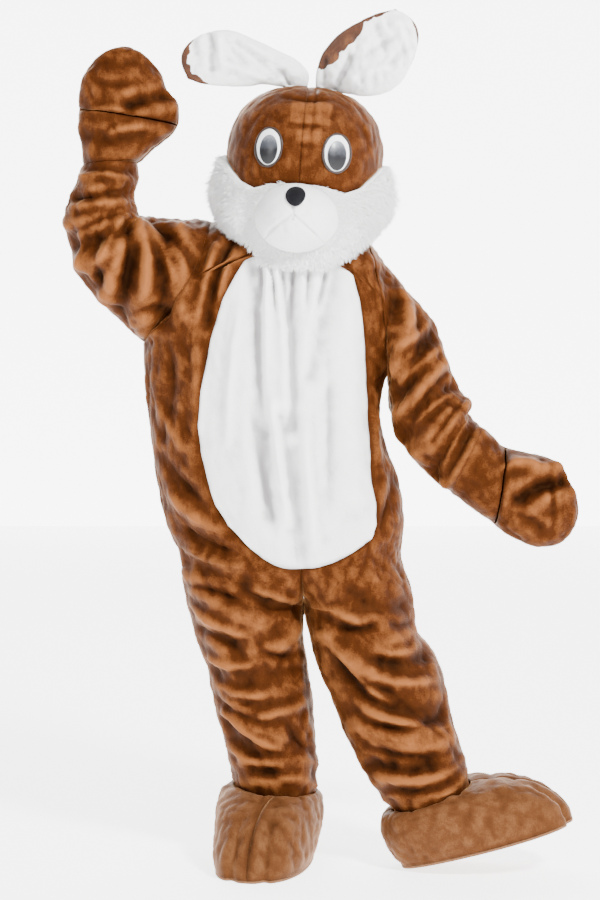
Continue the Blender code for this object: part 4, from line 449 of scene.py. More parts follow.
def half_point(half, side, across, station):
    """Point of a jumpsuit half: side -1 is the front and 1 the back, across runs from centre to side."""
    centre = along_parts(half, station, (0, 3, 13, 19))
    sides = along_parts(half, station, (0, 6, 19))
    values = np.concatenate([centre[..., :6], sides[..., 6:]], axis=-1)
    column = dict(zip(HALF_COLUMNS, np.moveaxis(values, -1, 0)))
    name = "front" if side < 0 else "back"
    inner = stack(column[name + "_x"], column[name + "_y"], column[name + "_z"])
    hole = column["hole_" + name]
    outer = stack(column["side_x"], column["side_y"] + side * hole, column["side_z"])
    quarter = 0.5 * math.pi * across
    chord = inner + (outer - inner) * np.sin(quarter)[..., None]
    rounded = stack(inner[..., 0] + (outer - inner)[..., 0] * np.sin(quarter),
                    outer[..., 1] + (inner - outer)[..., 1] * np.cos(quarter),
                    inner[..., 2] + (outer - inner)[..., 2] * np.sin(quarter) ** 2)
    body = chord + (rounded - chord) * column["roundness"][..., None]
    turn = math.pi * across
    leg = 0.5 * (inner + outer) + 0.5 * (inner - outer) * np.cos(turn)[..., None]
    leg[..., 1] += side * column["bulge"] * np.sin(turn)
    return body + (leg - body) * column["leg"][..., None]


def front_place(half, x, z):
    """Across and station of the front point that shows at x and z, found by a few steps of search."""
    across = np.full(np.shape(x), 0.4)
    station = np.full(np.shape(x), 7.0)
    step = 1e-4
    for _ in range(30):
        here = half_point(half, -1, across, station)
        by_across = (half_point(half, -1, across + step, station) - here) / step
        by_station = (half_point(half, -1, across, station + step) - here) / step
        off_x = x - here[..., 0]
        off_z = z - here[..., 2]
        scale = by_across[..., 0] * by_station[..., 2] - by_station[..., 0] * by_across[..., 2]
        scale = np.where(np.abs(scale) < 1e-6, 1e-6, scale)
        move_across = (off_x * by_station[..., 2] - by_station[..., 0] * off_z) / scale
        move_station = (by_across[..., 0] * off_z - off_x * by_across[..., 2]) / scale
        across = np.clip(across + np.clip(move_across, -0.2, 0.2), 0.0, 1.0)
        station = np.clip(station + np.clip(move_station, -1.0, 1.0), BELLY_TOP, CROTCH - 0.2)
    return across, station


def spread(*stops):
    """Row numbers from (end, count) stops: count even steps up to each end, starting at 0."""
    rows = [0.0]
    for end, count in stops:
        rows.extend(np.linspace(rows[-1], end, count + 1)[1:])
    return np.array(rows)


# Steps of the solids from shoulder to hem; each is cut into FINE_ROWS here
NECK_STEPS, ARMHOLE_STEPS = 4, 4
BELLY_LOW_STEPS, BELLY_CORNER_STEPS, CENTRE_STEPS, LEG_STEPS = 7, 5, 3, 11
BELLY_CORNER = 10.3
ACROSS = 7
SLEEVE_STEPS = 16

OUTER_ROWS = spread(*((end, count * FINE_ROWS) for end, count in (
    (BELLY_TOP, NECK_STEPS), (UNDERARM, ARMHOLE_STEPS), (BELLY_CORNER, BELLY_LOW_STEPS),
    (11.4, BELLY_CORNER_STEPS), (CROTCH, CENTRE_STEPS), (HEM, LEG_STEPS))))
FIRST_BELLY_ROW = NECK_STEPS * FINE_ROWS
ARMHOLE_ROWS = FIRST_BELLY_ROW + ARMHOLE_STEPS * FINE_ROWS
LAST_BELLY_ROW = ARMHOLE_ROWS + BELLY_LOW_STEPS * FINE_ROWS
CENTRE_ROW = LAST_BELLY_ROW + BELLY_CORNER_STEPS * FINE_ROWS
CROTCH_ROW = CENTRE_ROW + CENTRE_STEPS * FINE_ROWS
ZIP_LAST_ROW = ARMHOLE_ROWS + 5 * FINE_ROWS


def belly_grid():
    """Across and station of belly points on each half: rows run edge to edge and the low ones bow down."""
    rows = OUTER_ROWS[FIRST_BELLY_ROW:LAST_BELLY_ROW + 1]
    heights = along(RIGHT_HALF, rows)[:, 2]
    drop = np.linspace(0.0, 1.0, len(rows))
    heights += (1.378 - heights[0]) * np.clip(1.0 - drop * 11.0, 0.0, 1.0)
    heights += (BELLY_EDGE[-1][0] - heights[-1]) * np.clip(1.0 - (1.0 - drop) * 11.0, 0.0, 1.0)
    table = np.array(BELLY_EDGE)[::-1]
    right = np.interp(heights, table[:, 0], table[:, 1])[:, None]
    left = np.interp(heights, table[:, 0], table[:, 2])[:, None]
    bow = np.interp(heights, table[:, 0], table[:, 3])[:, None]
    middle_station = front_place(RIGHT_HALF, 0 * heights, heights)[1]
    middle_x = half_point(RIGHT_HALF, -1, np.zeros(len(rows)), middle_station)[:, 0][:, None]
    away = 1.0 - np.linspace(0.0, 1.0, BELLY_CORNER_STEPS * FINE_ROWS + 1)
    sides = {}
    for name, half, edge in (("right", RIGHT_HALF, right), ("left", LEFT_HALF, left)):
        x = middle_x + (edge - middle_x) * away
        z = heights[:, None] - bow * (1.0 - away ** 2)
        across, station = front_place(half, x, z)
        across[:, -1] = 0.0
        sides[name] = (across, station)
    shared_station = 0.5 * (sides["right"][1][:, -1] + sides["left"][1][:, -1])
    for across, station in sides.values():
        station[:, -1] = shared_station
    return sides


BELLY = belly_grid()


def front_grid(half, name):
    """Front panel points: each row runs from the neckline, belly, centre seam or inside leg to the side."""
    inner_across = np.zeros(len(OUTER_ROWS))
    inner_station = OUTER_ROWS.copy()
    across, station = BELLY[name]
    inner_across[FIRST_BELLY_ROW:LAST_BELLY_ROW + 1] = across[:, 0]
    inner_station[FIRST_BELLY_ROW:LAST_BELLY_ROW + 1] = station[:, 0]
    inner_across[LAST_BELLY_ROW:CENTRE_ROW + 1] = across[-1]
    inner_station[LAST_BELLY_ROW:CENTRE_ROW + 1] = station[-1]
    inner_station[CENTRE_ROW:CROTCH_ROW + 1] = np.linspace(
        inner_station[CENTRE_ROW], CROTCH, CENTRE_STEPS * FINE_ROWS + 1)
    share = np.linspace(0.0, 1.0, ACROSS * FINE_ACROSS + 1)[None, :]
    across = inner_across[:, None] + (1.0 - inner_across[:, None]) * share
    station = inner_station[:, None] + (OUTER_ROWS - inner_station)[:, None] * share
    return half_point(half, -1, across, station)


def back_grid(half):
    """Back panel points: the centre edge stands back from the zip and meets its twin below it."""
    count = len(OUTER_ROWS)
    first = half_point(half, 1, np.zeros(count), OUTER_ROWS)
    outer = half_point(half, 1, np.ones(count), OUTER_ROWS)
    wide = np.abs(outer - first)[:, 0]
    open_half = np.interp(np.arange(count), (FIRST_BELLY_ROW, ZIP_LAST_ROW - FINE_ROWS, ZIP_LAST_ROW),
                          (ZIP_HALF, ZIP_HALF, 0.0006), left=0.0, right=0.0)
    inner = open_half / (wide * 0.5 * math.pi)
    share = np.linspace(0.0, 1.0, ACROSS * FINE_ACROSS + 1)[None, :]
    across = inner[:, None] + (1.0 - inner[:, None]) * share
    return half_point(half, 1, across, np.broadcast_to(OUTER_ROWS[:, None], across.shape))


def ring_points(rows, place, turn):
    """Points of an oval ring: turn 0 is its low edge, then the front, the top edge and the back."""
    column = dict(zip(RING_COLUMNS, np.moveaxis(along(rows, place), -1, 0)))
    low = stack(column["low_x"], column["y"], column["low_z"])
    top = stack(column["top_x"], column["y"], column["top_z"])
    points = 0.5 * (low + top) + 0.5 * (low - top) * np.cos(turn)[..., None]
    points[..., 1] -= column["depth"] * np.sin(turn)
    return points


def sleeve_grid(rows, front, back):
    """Sleeve points: the armhole of the panels eases into oval rings; the seam is under the arm."""
    hole = np.concatenate([front[ARMHOLE_ROWS::-1, -1], back[1:ARMHOLE_ROWS + 1, -1]])
    turn = np.linspace(0.0, 2.0 * math.pi, len(hole))[None, :]
    place = (len(rows) - 1.0) * np.linspace(0.0, 1.0, SLEEVE_STEPS * FINE_SLEEVE + 1)[:, None] ** 0.85
    rings = ring_points(rows, place + 0 * turn, turn + 0 * place)
    share = np.clip(place / 4.5, 0.0, 1.0)
    share = (1.0 - (1.0 - share) ** 1.6)[..., None]
    return hole[None] + (rings - hole[None]) * share


def pillow(rows, tip, side, lengthwise, sideways, cup=0.0):
    """Half of a flat stuffed form from root to tip, sideways -1 (low edge) to 1 (top edge).

    The wall swells out by depth times the root of 1 minus sideways squared, and falls to nothing at the tip.
    """
    place = lengthwise * (len(rows) - 1.0)
    column = dict(zip(RING_COLUMNS, np.moveaxis(along(rows, place), -1, 0)))
    low = stack(column["low_x"], column["y"], column["low_z"])
    top = stack(column["top_x"], column["y"], column["top_z"])
    points = 0.5 * (low + top) + 0.5 * (top - low) * sideways[..., None]
    span = unit(top - low)
    forward = stack(-span[..., 2], 0.0 * place, span[..., 0])
    centre = along(rows, np.array([len(rows) - 1.0, len(rows) - 2.0]))
    heading = 0.5 * (centre[0, 0:2] + centre[0, 2:4] - centre[1, 0:2] - centre[1, 2:4])
    if forward[..., 0].mean() * heading[0] + forward[..., 2].mean() * heading[1] < 0:
        forward = -forward
    arc = tip * (1.0 - sideways ** 2) * ease((lengthwise - 0.55) / 0.45)
    points += forward * arc[..., None]
    swell = np.sqrt(np.maximum(1.0 - sideways ** 2, 0.0)) * np.sqrt(np.maximum(1.0 - lengthwise ** 7, 0.0))
    points[..., 1] += side * column["depth"] * swell + cup * (1.0 - sideways ** 2)
    return points


def to_curve(points, fold):
    """Distance, seen from the front, from each point to a fold's curve, and the place along the curve."""
    start = np.array((fold["start_x"], fold["start_z"]))
    middle = np.array((fold["middle_x"], fold["middle_z"]))
    end = np.array((fold["end_x"], fold["end_z"]))
    stops = np.linspace(0.0, 1.0, 9)[:, None]
    curve = (1 - stops) ** 2 * start + 2 * stops * (1 - stops) * middle + stops ** 2 * end
    seen = points[..., (0, 2)]
    nearest = np.full(seen.shape[:-1], 9.0)
    place = np.zeros(seen.shape[:-1])
    for index, (one, two) in enumerate(zip(curve[:-1], curve[1:])):
        run = two - one
        share = np.clip(((seen - one) @ run) / (run @ run), 0.0, 1.0)
        distance = np.linalg.norm(seen - one - share[..., None] * run, axis=-1)
        place = np.where(distance < nearest, (index + share) / 8.0, place)
        nearest = np.minimum(nearest, distance)
    return nearest, place


def fold_height(points, normals):
    """How far the folds push each point out.

    Across a fold the height is a bell with a shallow opposite dip on both sides; along it a small fold
    rises and dies out as the root of a sine. Each fold lies on the side that its row names.
    """
    height = np.zeros(points.shape[:-1])
    for table, tapered in ((FOLDS, False), (FINE_FOLDS, True)):
        for row in table:
            fold = dict(zip(FOLD_COLUMNS, row))
            reach = 4.0 * fold["width"]
            ends = np.array(((fold["start_x"], fold["middle_x"], fold["end_x"]),
                             (fold["start_z"], fold["middle_z"], fold["end_z"])))
            seen = points[..., (0, 2)]
            near = np.all((seen > ends.min(axis=1) - reach) & (seen < ends.max(axis=1) + reach), axis=-1)
            facing = ease((fold["side"] * normals[near][:, 1] - 0.1) / 0.5)
            distance, place = to_curve(points[near], fold)
            across = distance / fold["width"]
            bell = np.exp(-across ** 2)
            if tapered:
                sharp = 1.25 if fold["height"] < 0 else 1.8
                bell = np.exp(-across ** sharp) * np.sqrt(np.sin(math.pi * np.clip(place, 0.02, 0.98)))
                bell *= FINE_SHARE
            bell = bell - 0.22 * np.exp(-(across - 2.0) ** 2 / 0.8)
            height[near] += fold["height"] * bell * facing
    return height


def relief_of(height):
    """Height above the cloth around, the mean over a dozen millimetres, with a part of the height itself; it
    sets the painted shade of valleys and the painted highlight of ridges.
    """
    smooth = height
    for _ in range(10):
        for axis in (0, 1):
            first, last = np.take(smooth, [0], axis), np.take(smooth, [-1], axis)
            wide = np.concatenate([first, smooth, last], axis)
            count = smooth.shape[axis]
            smooth = sum(np.take(wide, np.arange(count) + step, axis) for step in range(3)) / 3.0
    return 1.7 * (height - smooth) + 0.35 * height


def crumple(points, step, stretch, seed):
    """Uneven creases between -1 and 1: the mean of warped sine ridges in several directions.

    step is the distance between creases and stretch the factors on x, y and z that draw them out.
    """
    chance = np.random.default_rng(seed)
    place = points * np.array(stretch) * (2.0 * math.pi / step)
    total = np.zeros(points.shape[:-1])
    count = 5
    for _ in range(count):
        way, warp_way, bend_way = chance.normal(size=(3, 3))
        way, warp_way, bend_way = unit(way), unit(warp_way), unit(bend_way)
        warp = 1.6 * np.sin(place @ warp_way * 0.43 + chance.uniform(0, 6.28))
        warp += 0.9 * np.sin(place @ bend_way * 0.91 + chance.uniform(0, 6.28))
        wave = np.sin(0.5 * (place @ way) + warp + chance.uniform(0, 6.28))
        total += 2.0 * np.abs(wave) ** 0.8 - 1.0
    return np.clip(1.35 * total / count, -1.0, 1.0)


def grid_normals(grid):
    """Normals at the points of a grid, not yet one long."""
    across = np.cross(grid[1:, 1:] - grid[:-1, :-1], grid[:-1, 1:] - grid[1:, :-1])
    total = np.zeros_like(grid)
    total[:-1, :-1] += across
    total[1:, :-1] += across
    total[:-1, 1:] += across
    total[1:, 1:] += across
    return total


def outward(grid, inside):
    """The grid with its columns in the order that makes its normals point away from inside."""
    away = np.sum(grid_normals(grid) * (grid - np.asarray(inside)))
    return grid if away > 0 else grid[:, ::-1]


def facing_way(grid, way):
    """The grid with its columns in the order that makes its normals point along way."""
    return grid if np.sum(grid_normals(grid) @ np.asarray(way, float)) > 0 else grid[:, ::-1]


def shared_normals(grids):
    """Normals of several grids, the same for both pieces at a seam."""
    points = np.concatenate([grid.reshape(-1, 3) for grid in grids.values()])
    normals = np.concatenate([unit(grid_normals(grid)).reshape(-1, 3) for grid in grids.values()])
    where = np.unique(np.round(points, 5), axis=0, return_inverse=True)[1].ravel()
    total = np.zeros((where.max() + 1, 3))
    np.add.at(total, where, normals)
    shared = unit(total)[where]
    result = {}
    first = 0
    for name, grid in grids.items():
        count = grid.shape[0] * grid.shape[1]
        result[name] = shared[first:first + count].reshape(grid.shape)
        first += count
    return result


def steps_to_edges(grid):
    """Distance over the cloth from each point to the nearest edge of its grid, along rows and columns."""
    down = np.linalg.norm(np.diff(grid, axis=0), axis=-1)
    over = np.linalg.norm(np.diff(grid, axis=1), axis=-1)
    from_top = np.concatenate([np.zeros((1, grid.shape[1])), np.cumsum(down, axis=0)])
    from_left = np.concatenate([np.zeros((grid.shape[0], 1)), np.cumsum(over, axis=1)], axis=1)
    return np.minimum.reduce([from_top, from_top[-1:] - from_top, from_left, from_left[:, -1:] - from_left])


def seam_inset(grid, normals, margin):
    """The grid with each edge drawn back by margin, square to the seam and along the cloth."""
    moved = grid.copy()
    for flip in (False, True):
        points = grid.swapaxes(0, 1) if flip else grid
        facing = normals.swapaxes(0, 1) if flip else normals
        target = moved.swapaxes(0, 1) if flip else moved
        for end, next_in in ((0, 1), (-1, -2)):
            tangent = unit(np.gradient(points[end], axis=0))
            draw = unit(np.cross(facing[end], tangent))
            draw *= np.sign(np.sum(draw * (points[next_in] - points[end]), axis=-1, keepdims=True))
            target[end] += draw * margin
    return moved


def put(name, vertices, faces, material, attributes=None, smooth=True):
    """An object on the suit from faces and points above the floor, lowered to the shoulder line."""
    mesh = bpy.data.meshes.new(name)
    points = np.asarray(vertices, float) - np.array((0.0, 0.0, SHOULDER_HEIGHT))
    mesh.from_pydata(points, [], faces)
    for label, values in (attributes or {}).items():
        layer = mesh.attributes.new(label, "FLOAT", "POINT")
        layer.data.foreach_set("value", np.asarray(values, np.float32).ravel())
    mesh.polygons.foreach_set("use_smooth", np.full(len(mesh.polygons), smooth))
    mesh.materials.append(material)
    mesh.update()
    piece = bpy.data.objects.new(name, mesh)
    bpy.context.scene.collection.objects.link(piece)
    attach(piece, BODY)
    return piece


def quads(rows, columns, first=0):
    """Quads between the points of a grid, numbered row by row from first."""
    number = np.arange(rows * columns).reshape(rows, columns) + first
    return np.stack([number[:-1, :-1], number[1:, :-1], number[1:, 1:], number[:-1, 1:]], -1).reshape(-1, 4)


def closed_sheet(name, outer, inner, material, attributes=None):
    """A closed cloth between two grids of the same shape; the attributes hold for both walls."""
    rows, columns = outer.shape[:2]
    count = rows * columns
    number = np.arange(count).reshape(rows, columns)
    sheet = quads(rows, columns)
    edge = np.concatenate([number[0, :-1], number[:-1, -1], number[-1, :0:-1], number[:0:-1, 0]])
    follow = np.roll(edge, -1)
    rim = np.stack([edge, follow, follow + count, edge + count], 1)
    faces = np.concatenate([sheet, sheet[:, ::-1] + count, rim])
    vertices = np.concatenate([outer.reshape(-1, 3), inner.reshape(-1, 3)])
    both = {label: np.concatenate([v.ravel(), v.ravel()]) for label, v in (attributes or {}).items()}
    return put(name, vertices, faces, material, both)


def add_node(tree, kind, inputs=None, **settings):
    """A node with its settings made; an input is given a value, or a socket to be linked to."""
    made = tree.nodes.new(kind)
    for label, value in settings.items():
        setattr(made, label, value)
    for label, value in (inputs or {}).items():
        if isinstance(value, bpy.types.NodeSocket):
            tree.links.new(value, made.inputs[label])
        else:
            made.inputs[label].default_value = value
    return made


def maths(tree, operation, one, two=0.0, clamp=False):
    """The result of a Math node on two values or sockets."""
    return add_node(tree, "ShaderNodeMath", {0: one, 1: two}, operation=operation, use_clamp=clamp).outputs[0]


def noise_of(tree, place, scale, detail):
    """The value of a noise texture at a place."""
    values = {"Vector": place, "Scale": scale, "Detail": detail}
    return add_node(tree, "ShaderNodeTexNoise", values).outputs["Fac"]


def mixed(tree, share, one, two):
    """The colour between two colours at a share."""
    made = add_node(tree, "ShaderNodeMix", {"Factor": share}, data_type="RGBA")
    for index, value in ((6, one), (7, two)):
        if isinstance(value, bpy.types.NodeSocket):
            tree.links.new(value, made.inputs[index])
        else:
            made.inputs[index].default_value = value
    return made.outputs[2]


def new_group(name, inputs, outputs):
    """An empty shader node group with named inputs (name, type, default) and outputs (name, type)."""
    tree = bpy.data.node_groups.new(name, "ShaderNodeTree")
    for label, kind, default in inputs:
        tree.interface.new_socket(label, in_out="INPUT", socket_type=kind).default_value = default
    for label, kind in outputs:
        tree.interface.new_socket(label, in_out="OUTPUT", socket_type=kind)
    return tree, tree.nodes.new("NodeGroupInput").outputs, tree.nodes.new("NodeGroupOutput").inputs


def pile_group():
    """Plush pile: colour from the fold relief, as painted shade in valleys and painted highlight on ridges,
    and from brushed patches and tufts; roughness; height for the bump.
    """
    grey = (0.5, 0.5, 0.5, 1.0)
    tree, given, result = new_group(
        "plush_pile",
        [("Dark", "NodeSocketColor", grey), ("Middle", "NodeSocketColor", grey),
         ("Light", "NodeSocketColor", grey), ("Lift", "NodeSocketFloat", 0.0),
         ("Fold Shade Share", "NodeSocketFloat", 0.4), ("Patch Share", "NodeSocketFloat", 0.5),
         ("Tuft Scale", "NodeSocketFloat", 420.0), ("Roughness", "NodeSocketFloat", 0.5)],
        [("Color", "NodeSocketColor"), ("Roughness", "NodeSocketFloat"), ("Height", "NodeSocketFloat")])
    place = add_node(tree, "ShaderNodeTexCoord").outputs["Object"]
    patch = add_node(tree, "ShaderNodeTexNoise", {"Vector": place, "Scale": 24.0, "Detail": 4.0,
                                                  "Roughness": 0.6, "Distortion": 1.4}).outputs["Fac"]
    drawn = add_node(tree, "ShaderNodeMapping", {"Vector": place, "Scale": (1.0, 1.0, 0.35)}).outputs[0]
    brushed = add_node(tree, "ShaderNodeTexNoise", {"Vector": drawn, "Scale": 95.0, "Detail": 3.0,
                                                    "Roughness": 0.6, "Distortion": 0.4}).outputs["Fac"]
    tuft = add_node(tree, "ShaderNodeTexNoise", {"Vector": place, "Scale": given["Tuft Scale"], "Detail": 2.0,
                                                 "Roughness": 0.6}).outputs["Fac"]
    uneven = maths(tree, "ADD", maths(tree, "MULTIPLY", maths(tree, "SUBTRACT", patch, 0.5), 1.5),
                   maths(tree, "MULTIPLY", maths(tree, "SUBTRACT", brushed, 0.5), 0.9))
    # Painted shade and highlight: the fold relief darkens valleys and lightens ridges; random patches and
    # tufts add their own tone.
    share = maths(tree, "ADD", maths(tree, "MULTIPLY", given["Lift"], given["Fold Shade Share"]),
                  maths(tree, "MULTIPLY", uneven, given["Patch Share"]))
    share = maths(tree, "ADD", share, maths(tree, "MULTIPLY", maths(tree, "SUBTRACT", tuft, 0.5), 0.35))
    share = maths(tree, "ADD", share, 0.5, clamp=True)
    low = mixed(tree, maths(tree, "MULTIPLY", share, 2.0, clamp=True), given["Dark"], given["Middle"])
    high = maths(tree, "SUBTRACT", maths(tree, "MULTIPLY", share, 2.0), 1.0, clamp=True)
    tree.links.new(mixed(tree, high, low, given["Light"]), result["Color"])
    rough = maths(tree, "ADD", given["Roughness"], maths(tree, "MULTIPLY", uneven, 0.12), clamp=True)
    tree.links.new(rough, result["Roughness"])
    height = maths(tree, "ADD", maths(tree, "MULTIPLY", tuft, 0.55), maths(tree, "MULTIPLY", brushed, 0.9))
    tree.links.new(height, result["Height"])
    return tree


PILE = pile_group()


def blank_material(name):
    """A material with its Principled BSDF and its tree."""
    material = bpy.data.materials.new(name)
    material.use_nodes = True
    return material, material.node_tree, material.node_tree.nodes["Principled BSDF"]


def pile_of(tree, lift, colours, fold_shade_share, patch_share, tuft_scale, roughness):
    """The plush group placed in a material with its own values."""
    made = add_node(tree, "ShaderNodeGroup", node_tree=PILE)
    # The fold relief carries the painted shade and highlight.
    tree.links.new(lift, made.inputs["Lift"])
    for label, value in zip(("Dark", "Middle", "Light"), colours):
        made.inputs[label].default_value = (*value, 1.0)
    for label, value in (("Fold Shade Share", fold_shade_share), ("Patch Share", patch_share), ("Tuft Scale", tuft_scale),
                         ("Roughness", roughness)):
        made.inputs[label].default_value = value
    return made.outputs


def painted_fold_shade_of(tree):
    """The fold height kept on the mesh, in units of the fold shade unit; it sets painted shade in valleys and
    painted highlight on ridges.
    """
    return add_node(tree, "ShaderNodeAttribute", attribute_name="lift").outputs["Fac"]


def finish_pile(tree, shader, colour, roughness, height, sheen, sheen_tint, sheen_roughness, gloss, bump):
    """Links the plush to its shader and sets the constant values on the shader's own sockets."""
    tree.links.new(colour, shader.inputs["Base Color"])
    tree.links.new(roughness, shader.inputs["Roughness"])
    raised = add_node(tree, "ShaderNodeBump", {"Height": height, "Strength": bump, "Distance": 0.0022})
    tree.links.new(raised.outputs[0], shader.inputs["Normal"])
    shader.inputs["Sheen Weight"].default_value = sheen
    shader.inputs["Sheen Tint"].default_value = (*sheen_tint, 1.0)
    shader.inputs["Sheen Roughness"].default_value = sheen_roughness
    shader.inputs["Specular IOR Level"].default_value = gloss
    shader.inputs["Specular Tint"].default_value = (*sheen_tint, 1.0)


def plush(name, colours, fold_shade_share, patch_share, tuft_scale, roughness, sheen, sheen_tint, sheen_roughness,
          gloss, bump):
    """A plush in one colour family, with painted shade in its fold valleys and painted highlight on its
    ridges.
    """
    material, tree, shader = blank_material(name)
    pile = pile_of(tree, painted_fold_shade_of(tree), colours, fold_shade_share, patch_share, tuft_scale, roughness)
    finish_pile(tree, shader, pile["Color"], pile["Roughness"], pile["Height"], sheen, sheen_tint,
                sheen_roughness, gloss, bump)
    return material


# Dark, middle and light tones: fold valleys go dark as painted shade and ridges light as painted highlight;
# random patches and tufts vary the tone too.
BROWN_PILE = ((0.0070, 0.0018, 0.0006), (0.044, 0.0118, 0.0030), (0.210, 0.074, 0.0220))
WHITE_PILE = ((0.400, 0.385, 0.385), (0.820, 0.812, 0.805), (0.940, 0.935, 0.930))
TAN_PILE = ((0.022, 0.0075, 0.0028), (0.085, 0.031, 0.0110), (0.190, 0.085, 0.036))
BROWN = plush("brown_plush", BROWN_PILE, 0.25, 0.26, 420.0, 0.50, 0.42, (1.0, 0.48, 0.18), 0.26, 0.06, 0.45)
WHITE = plush("white_plush", WHITE_PILE, 0.26, 0.10, 420.0, 0.75, 0.20, (1.0, 1.0, 1.0), 0.45, 0.2, 0.45)
TAN = plush("tan_plush", TAN_PILE, 0.24, 0.30, 380.0, 0.50, 0.34, (1.0, 0.54, 0.25), 0.32, 0.06, 0.5)
VELOUR_PILE = ((0.002, 0.002, 0.002), (0.005, 0.005, 0.006), (0.014, 0.014, 0.016))
TAPE_WEAVE = ((0.020, 0.010, 0.006), (0.045, 0.024, 0.014), (0.080, 0.045, 0.028))
SOLE_FOAM = ((0.090, 0.040, 0.018), (0.180, 0.085, 0.040), (0.260, 0.130, 0.065))
VELOUR = plush("black_velour", VELOUR_PILE, 0.2, 0.5, 900.0, 0.7, 0.06, (0.8, 0.8, 0.9), 0.4, 0.1, 0.4)
TAPE = plush("zip_tape", TAPE_WEAVE, 0.2, 0.3, 1200.0, 0.75, 0.1, (1.0, 0.9, 0.8), 0.5, 0.3, 0.3)
SOLE = plush("sole_foam", SOLE_FOAM, 0.0, 0.3, 900.0, 0.85, 0.1, (1.0, 0.9, 0.8), 0.5, 0.2, 0.3)


def ear_lining():
    """White plush that turns to brown where the brown back is folded over the edge; both plushes carry
    painted fold shade and highlight.
    """
    material, tree, shader = blank_material("ear_plush")
    lift = painted_fold_shade_of(tree)
    white = pile_of(tree, lift, WHITE_PILE, 0.30, 0.12, 420.0, 0.75)
    brown = pile_of(tree, lift, BROWN_PILE, 0.23, 0.30, 420.0, 0.50)
    place = add_node(tree, "ShaderNodeTexCoord").outputs["Object"]
    ragged = noise_of(tree, place, 260.0, 2.0)
    folded = add_node(tree, "ShaderNodeAttribute", attribute_name="folded_over").outputs["Fac"]
    share = maths(tree, "ADD", folded, maths(tree, "MULTIPLY", maths(tree, "SUBTRACT", ragged, 0.5), 0.5))
    share = maths(tree, "MULTIPLY", maths(tree, "SUBTRACT", share, 0.42), 6.0, clamp=True)
    height = maths(tree, "ADD", white["Height"], maths(tree, "MULTIPLY", share, 0.3))
    finish_pile(tree, shader, mixed(tree, share, white["Color"], brown["Color"]), white["Roughness"], height,
                0.35, (1.0, 0.97, 0.94), 0.45, 0.3, 0.45)
    return material


def eye_plastic(name, stops, roughness):
    """Smooth plastic with a colour for each height in the eye, from the attribute tall, -1 to 1: painted
    shading, darker towards the bottom and lighter towards the top.
    """
    material, tree, shader = blank_material(name)
    tall = add_node(tree, "ShaderNodeAttribute", attribute_name="tall").outputs["Fac"]
    place = add_node(tree, "ShaderNodeTexCoord").outputs["Object"]
    cloudy = noise_of(tree, place, 120.0, 3.0)
    share = maths(tree, "ADD", maths(tree, "MULTIPLY", tall, 0.5), 0.5)
    share = maths(tree, "ADD", share, maths(tree, "MULTIPLY", maths(tree, "SUBTRACT", cloudy, 0.5), 0.25))
    ramp = add_node(tree, "ShaderNodeValToRGB", {"Fac": share})
    points = ramp.color_ramp.elements
    while len(points) < len(stops):
        points.new(0.5)
    for point, (place_at, colour) in zip(points, stops):
        point.position = place_at
        point.color = (*colour, 1.0)
    tree.links.new(ramp.outputs["Color"], shader.inputs["Base Color"])
    rough = maths(tree, "ADD", roughness, maths(tree, "MULTIPLY", cloudy, 0.1))
    tree.links.new(rough, shader.inputs["Roughness"])
    shader.inputs["Specular IOR Level"].default_value = 0.3
    shader.inputs["Coat Weight"].default_value = 0.12
    shader.inputs["Coat Roughness"].default_value = 0.15
    return material


EAR = ear_lining()
# Eye white with painted shade: grey at the bottom, lighter towards the top.
EYE_WHITE = eye_plastic("eye_white", ((0.0, (0.60, 0.61, 0.63)), (0.4, (0.80, 0.81, 0.82)),
                                      (1.0, (0.86, 0.87, 0.88))), 0.28)
# Iris with painted light: black below, grey at the top.
EYE_DARK = eye_plastic("eye_dark", ((0.0, (0.003, 0.003, 0.004)), (0.45, (0.008, 0.008, 0.010)),
                                    (0.75, (0.060, 0.064, 0.075)), (1.0, (0.20, 0.21, 0.23))), 0.30)
EYE_LINE = eye_plastic("eye_line", ((0.0, (0.020, 0.012, 0.010)), (1.0, (0.030, 0.018, 0.014))), 0.5)


def zip_metal():
    """Worn nickel: brighter where rubbed, a little uneven in roughness."""
    material, tree, shader = blank_material("zip_metal")
    place = add_node(tree, "ShaderNodeTexCoord").outputs["Object"]
    worn = noise_of(tree, place, 380.0, 4.0)
    nickel = mixed(tree, worn, (0.34, 0.30, 0.25, 1.0), (0.68, 0.63, 0.55, 1.0))
    tree.links.new(nickel, shader.inputs["Base Color"])
    tree.links.new(maths(tree, "ADD", maths(tree, "MULTIPLY", worn, 0.3), 0.2), shader.inputs["Roughness"])
    shader.inputs["Metallic"].default_value = 1.0
    return material


def fur_material():
    """Long white fur with painted shade at the roots, greyer there with random tone; the attribute along runs
    from root 0 to tip 1.
    """
    material, tree, shader = blank_material("long_fur")
    along_hair = add_node(tree, "ShaderNodeAttribute", attribute_name="along").outputs["Fac"]
    place = add_node(tree, "ShaderNodeTexCoord").outputs["Object"]
    tint = noise_of(tree, place, 60.0, 2.0)
    # Painted shade: roots greyer than the tips, with random tone.
    root = mixed(tree, tint, (0.80, 0.79, 0.78, 1.0), (0.92, 0.91, 0.90, 1.0))
    tree.links.new(mixed(tree, along_hair, root, (0.97, 0.965, 0.96, 1.0)), shader.inputs["Base Color"])
    shader.inputs["Roughness"].default_value = 0.65
    shader.inputs["Sheen Weight"].default_value = 0.2
    shader.inputs["Specular IOR Level"].default_value = 0.25
    return material


LONG_FUR = fur_material()
METAL = zip_metal()
# Fold relief that gives full painted shade in a valley and full painted highlight on a ridge.
FOLD_SHADE_UNIT = 0.009


def sheet_piece(name, node, outer, inner, material, attributes=None):
    """A closed cloth that stands for a node, which it hides."""
    piece = closed_sheet(name, outer, inner, material, attributes)
    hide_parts(node)
    return piece


